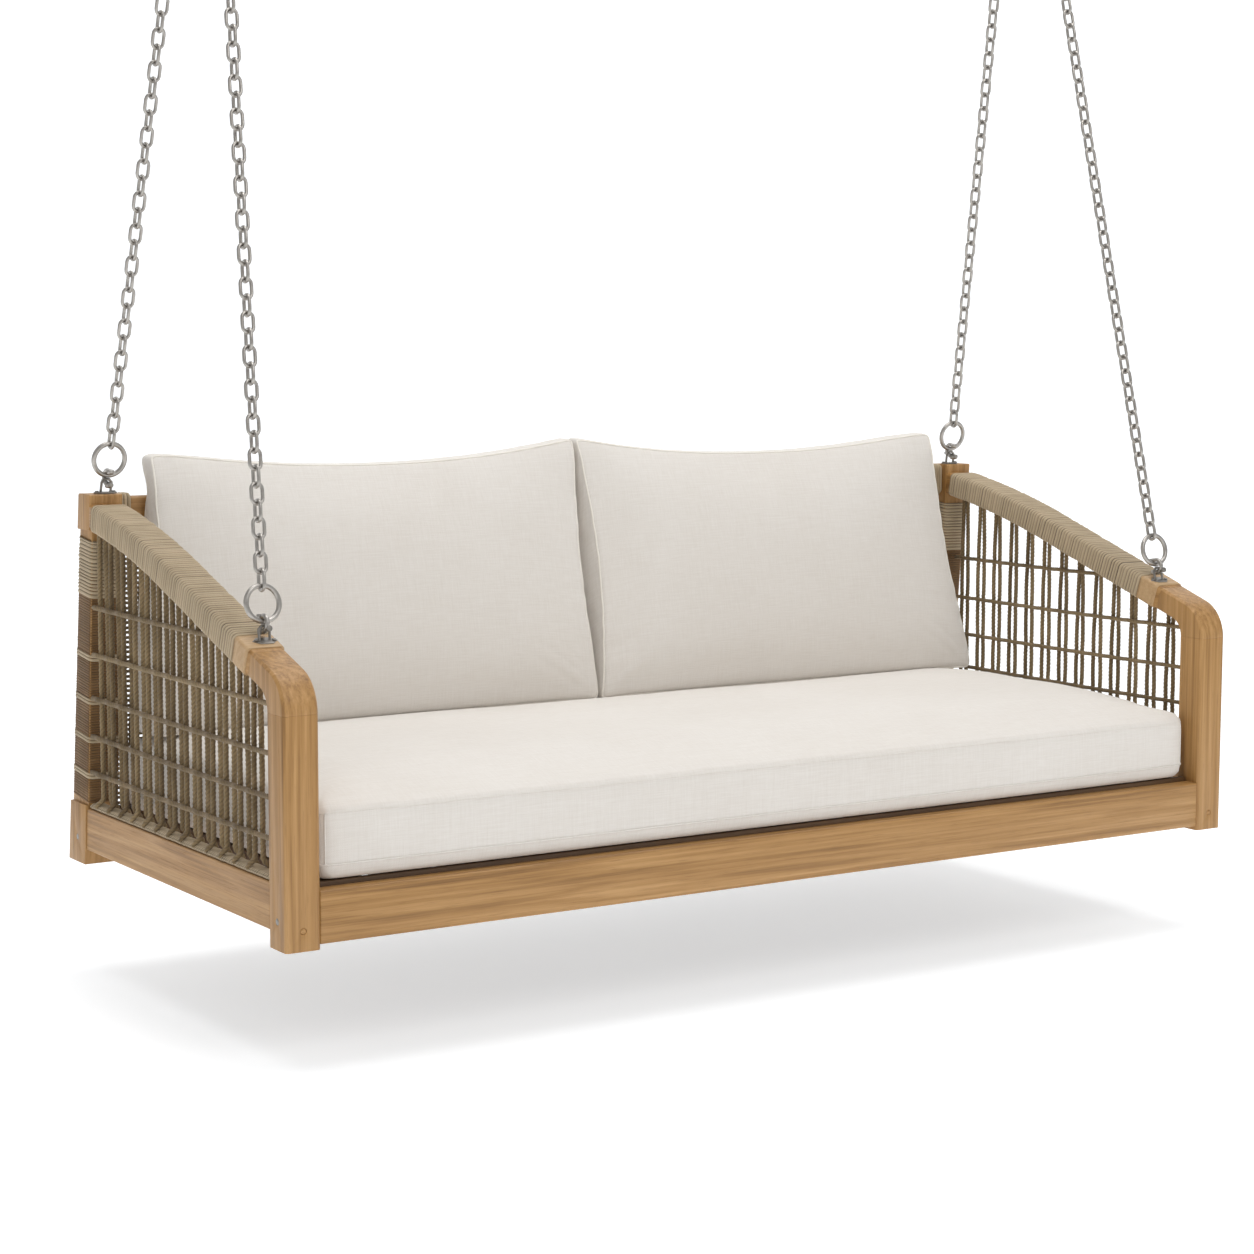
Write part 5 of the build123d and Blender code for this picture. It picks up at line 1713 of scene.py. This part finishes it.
    def seat_cushion(self) -> None:
        """Make the seat cushion."""
        low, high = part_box("seat_cushion")
        self.seat_crown = self.seat_full_crown - self.swell_room
        deep = high.y - low.y - self.seat_margin
        tall = high.z - low.z - self.seat_full_crown
        self.seat = SoftBox(high.x - low.x, deep, tall, self.seat_edge, self.seat_cell, self.seat_shape)
        buffer = MeshBuffer()
        self.seat.fill(buffer)
        piece = buffer.build("seat_cushion_cover", self.finishes.linen)
        lines = [self.seat.seam(2, -1, self.seat_low_seam), self.seat.seam(2, 1, self.seat_high_seam)]
        over = np.array([0.0, 0.0, self.seat_over])
        self.swell(piece, self.seat_cell, lines, np.array(low), np.array(high) + over)
        fit(piece, "seat_pad", "linen", "seat_cushion")
        seams = MeshBuffer()
        for line, wire in zip(lines, (self.seam_wire, self.seam_wire / 2)):
            seams.tube(self.on_cover(piece, line), wire, self.seam_sides, True)
        rise = np.linspace(self.seat_low_seam, tall - self.seat_high_seam, 24) - tall / 2
        for sign in (-1, 1):
            corner = np.empty((len(rise), 3))
            corner[:, 0] = sign * (self.seat.wide / 2 - self.corner_seam)
            corner[:, 1] = -deep / 2
            corner[:, 2] = rise
            line = self.on_cover(piece, self.seat_shape(corner), False)
            seams.tube(line, self.seam_wire / 2, self.seam_sides)
        fit(seams.build("seat_cushion_seams", self.finishes.linen), "seat_pad", "linen")

    def back_shape(self, spots: np.ndarray) -> np.ndarray:
        """Bend a back cushion's box: a full wedge that leans back over the rail, with drawn-out corners.

        Args:
            spots: Points of the box about its middle.

        Returns:
            The bent points in the frame.
        """
        box = self.back
        u = np.clip(2 * spots[:, 0] / box.wide, -1, 1)
        t = np.clip(spots[:, 2] / box.tall + 0.5, 0, 1)
        v = 2 * spots[:, 1] / box.deep
        made = np.empty_like(spots)
        over = np.clip((t - self.rail_share) / (0.97 - self.rail_share), 0, 1)
        rear = self.foot_rear + (self.top_rear - self.foot_rear) * over * over * (3 - 2 * over)
        front = self.foot_front + (self.top_front - self.foot_front) * t
        corner = np.abs(u) ** 7
        front = front + self.foot_fill * np.exp(-t * 14.0)
        rear = rear - self.corner_thin * corner * t**4
        belly = 1 - np.abs(2 * t - 1) ** 3.4
        puff = (0.62 * (1 - np.abs(u) ** 2.4) + 0.38 * (1 - np.abs(u) ** 9)) * belly
        made[:, 1] = (front + rear) / 2 + v * (rear - front) / 2 - np.clip(-v, 0, 1) * puff * self.crown
        outer = np.clip(u * self.outer, 0, 1)
        inner = np.clip(-u * self.outer, 0, 1)
        ahead = np.clip(0.45 - 0.55 * v, 0, 1)
        waist = np.sin(np.pi * t) ** 1.3 * ahead
        lean = self.lean_in * t * (1 + u * self.outer) / 2
        pull = outer**6 * self.outer_pull * waist - inner**6 * self.inner * waist + lean
        ear = np.abs(u) ** 16 * np.abs(2 * t - 1) ** 16
        made[:, 0] = self.centre_x + spots[:, 0] - self.outer * pull + np.sign(u) * self.ear_out * ear
        dip = self.dip * (1 - np.abs(u) ** 2.2) * t**3
        rise = spots[:, 2] + box.tall / 2 - self.ear_down * ear * (1 - t)
        made[:, 2] = self.base + np.maximum(rise, 0.0) - dip - self.outer_drop * outer**8 * t**6
        crease = np.exp(-(1 - np.abs(u)) * 9) * np.exp(-(1 - t) * 5)
        made[:, 1] += self.crease * crease * np.sin((1 - t) * 26.0 + np.abs(u) * 34.0)
        tuck = np.exp(-(1 - np.abs(u)) * 16) * belly * np.clip(-v, 0, 1)
        made[:, 1] += self.tuck * tuck * np.sin(t * 47.0 + 2.0 * np.sin(t * 19.0 + self.outer))
        return made

    def back_cushion(self, side: Side) -> None:
        """Make one back cushion.

        Args:
            side: The side of the swing.
        """
        node = f"{side.word}_back_cushion"
        low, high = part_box(node)
        points = np.array([vertex.co[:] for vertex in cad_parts[node].data.vertices])
        foot = points[points[:, 2] < low.z + self.foot_layer]
        top = points[points[:, 2] > high.z - self.top_layer]
        _, rail_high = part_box("top_rail_loops")
        self.base = low.z + self.lift
        self.outer = side.value
        self.inner = self.inner_pull[side]
        self.centre_x = (low.x + high.x) / 2
        self.foot_front, self.foot_rear = foot[:, 1].min(), foot[:, 1].max()
        self.top_front, self.top_rear = top[:, 1].min(), top[:, 1].max()
        self.rail_share = (rail_high.z - low.z) / (high.z - low.z)
        self.crown = self.back_full_crown - self.swell_room
        tall = high.z - low.z
        self.lean_in = tall * math.tan(self.end_lean)
        self.back = SoftBox(
            high.x - low.x, self.back_box_depth, tall, self.back_edge, self.back_cell, self.back_shape
        )
        buffer = MeshBuffer()
        self.back.fill(buffer)
        piece = buffer.build(f"{node}_cover", self.finishes.linen)
        lines = [self.back.seam(1, sign, self.back_seam) for sign in (-1, 1)]
        over = np.array([0.0, self.back_over, 0.0])
        self.swell(piece, self.back_voxel, lines, np.array(low) - over, np.array(high))
        body = f"{side.word}_back_pad"
        fit(piece, body, "linen", node)
        seams = MeshBuffer()
        for line in lines:
            seams.tube(self.on_cover(piece, line), self.seam_wire, self.seam_sides, True)
        # The seam cords take the paler linen: painted highlight along the seams.
        fit(seams.build(f"{node}_seams", self.finishes.seam), body, "linen")

    def build(self) -> None:
        """Make the three cushions."""
        self.seat_cushion()
        for side in Side:
            self.back_cushion(side)


@dataclass
class Studio:
    """A pale floor that turns up behind the swing, white sheets round it, soft light and the camera."""

    floor_drop: float = 0.18
    floor_half: float = 22.0
    floor_front: float = -12.0
    floor_back: float = 9.0
    bend_radius: float = 3.0
    wall_height: float = 14.0
    sheet_height: float = 30.0
    sheet_under: float = 1.0
    floor_tint: Colour = (0.80, 0.80, 0.80)
    floor_glow: Colour = (0.935, 0.97, 1.0)
    floor_glow_strength: float = 0.505
    air_strength: float = 0.46
    aim: Triple = (0.0, -0.1, -1.75)
    camera_x: float = -2.58779
    camera_run: float = -3.50854
    camera_height: float = 0.91252
    yaw: float = math.radians(33.101)
    pitch: float = math.radians(6.415)
    roll: float = math.radians(0.181)
    lens: float = 79.32
    shift: tuple[float, float] = (-0.01745, -0.0048)

    def floor(self) -> None:
        """Make the floor, with a long curve up to a wall behind."""
        level = CAD_BOX[0][2] - self.floor_drop
        wall = self.floor_back + self.bend_radius
        line = [(self.floor_front, level)]
        for turn in np.linspace(0.0, math.pi / 2, 24):
            y = self.floor_back + self.bend_radius * math.sin(turn)
            line.append((y, level + self.bend_radius * (1 - math.cos(turn))))
        line.append((wall, level + self.wall_height))
        rows = np.array([[(x, y, z) for x in (-self.floor_half, self.floor_half)] for y, z in line])
        material = MaterialGraph("studio_floor").finish(
            self.floor_tint,
            0.9,
            Specular_IOR_Level=0.05,
            Emission_Color=self.floor_glow,
            Emission_Strength=self.floor_glow_strength,
        )
        self.sheet("studio_floor_sheet", rows, material)

    def sheet(self, name: str, rows: np.ndarray, material: bpy.types.Material) -> bpy.types.Object:
        """Add a sheet to the stage, turned to face the camera.

        Args:
            name: Its name.
            rows: Its points, row by row.
            material: Its finish.

        Returns:
            The sheet.
        """
        buffer = MeshBuffer()
        buffer.grid(rows, False)
        made = buffer.build(name, material)
        made.data.transform(Matrix.Rotation(-self.yaw, 4, "Z"))
        return made

    def backdrop(self) -> None:
        """Stand white sheets at the other sides of the floor.  They are only seen, and light nothing."""
        level = CAD_BOX[0][2] - self.floor_drop
        wide, deep = self.floor_half, -self.floor_front
        corners = ((-wide, deep), (-wide, -deep), (wide, -deep), (wide, deep))
        ends = (level - self.sheet_under, level + self.sheet_height)
        rows = np.array([[(x, y, z) for x, y in corners] for z in ends])
        material = MaterialGraph("studio_backdrop").finish(
            (0.0, 0.0, 0.0), 1.0, Emission_Color=(1.0, 1.0, 1.0), Emission_Strength=1.0
        )
        made = self.sheet("studio_backdrop_sheet", rows, material)
        made.visible_diffuse = False
        made.visible_glossy = False
        made.visible_transmission = False
        made.visible_shadow = False

    def light(self, name: str, place: Triple, aim: Triple, size: float, watts: float) -> None:
        """Add a square light.

        Args:
            name: Its name.
            place: Where it stands.
            aim: The point it faces.
            size: Its width.
            watts: Its power.
        """
        data = bpy.data.lights.new(name, "AREA")
        data.size = size
        data.energy = watts
        lamp = put(name, data)
        lamp.location = place
        lamp.rotation_euler = (Vector(aim) - Vector(place)).to_track_quat("-Z", "Y").to_euler()

    def camera(self) -> None:
        """Add the camera."""
        level = math.cos(self.pitch)
        ahead = Vector((math.sin(self.yaw) * level, math.cos(self.yaw) * level, -math.sin(self.pitch)))
        right = Vector((math.cos(self.yaw), -math.sin(self.yaw), 0.0))
        up = right.cross(ahead)
        turn = Matrix((right, up, -ahead)).transposed().to_4x4() @ Matrix.Rotation(self.roll, 4, "Z")
        data = bpy.data.cameras.new("photo_camera")
        data.sensor_width = 36.0
        data.lens = self.lens
        data.shift_x, data.shift_y = self.shift
        data.clip_end = 100.0
        made = put("photo_camera", data)
        low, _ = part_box("left_front_post")
        place = Vector((self.camera_x, low.y + self.camera_run, low.z + self.camera_height))
        made.matrix_world = Matrix.Translation(place) @ turn
        bpy.context.scene.camera = made

    def build(self) -> None:
        """Set the stage."""
        self.floor()
        self.backdrop()
        self.light("key_light", (0.4, -5.0, 2.4), self.aim, 2.6, 76.0)
        self.light("fill_light", (-5.2, -2.6, 0.8), self.aim, 3.0, 9.0)
        self.light("top_light", (0.2, 0.3, 3.6), self.aim, 4.5, 185.0)
        self.light("wall_light", (2.5, 3.8, 2.6), (6.0, 9.2, 0.8), 4.0, 110.0)
        world = bpy.data.worlds.new("studio_air")
        world.use_nodes = True
        air = world.node_tree.nodes["Background"]
        air.inputs["Color"].default_value = (1.0, 1.0, 1.0, 1.0)
        air.inputs["Strength"].default_value = self.air_strength
        bpy.context.scene.world = world
        bpy.context.scene.view_settings.view_transform = "Standard"
        self.camera()


def main() -> None:
    """Dress the swing and set the stage."""
    logging.basicConfig(level=logging.INFO, format="%(name)s: %(message)s")
    finishes = Finishes()
    arm = ArmLine()
    EasedSolids(finishes).build()
    RopeWork(finishes, arm).build()
    IronWork(finishes).build()
    Cushions(finishes).build()
    Studio().build()


if __name__ == "__main__":
    main()
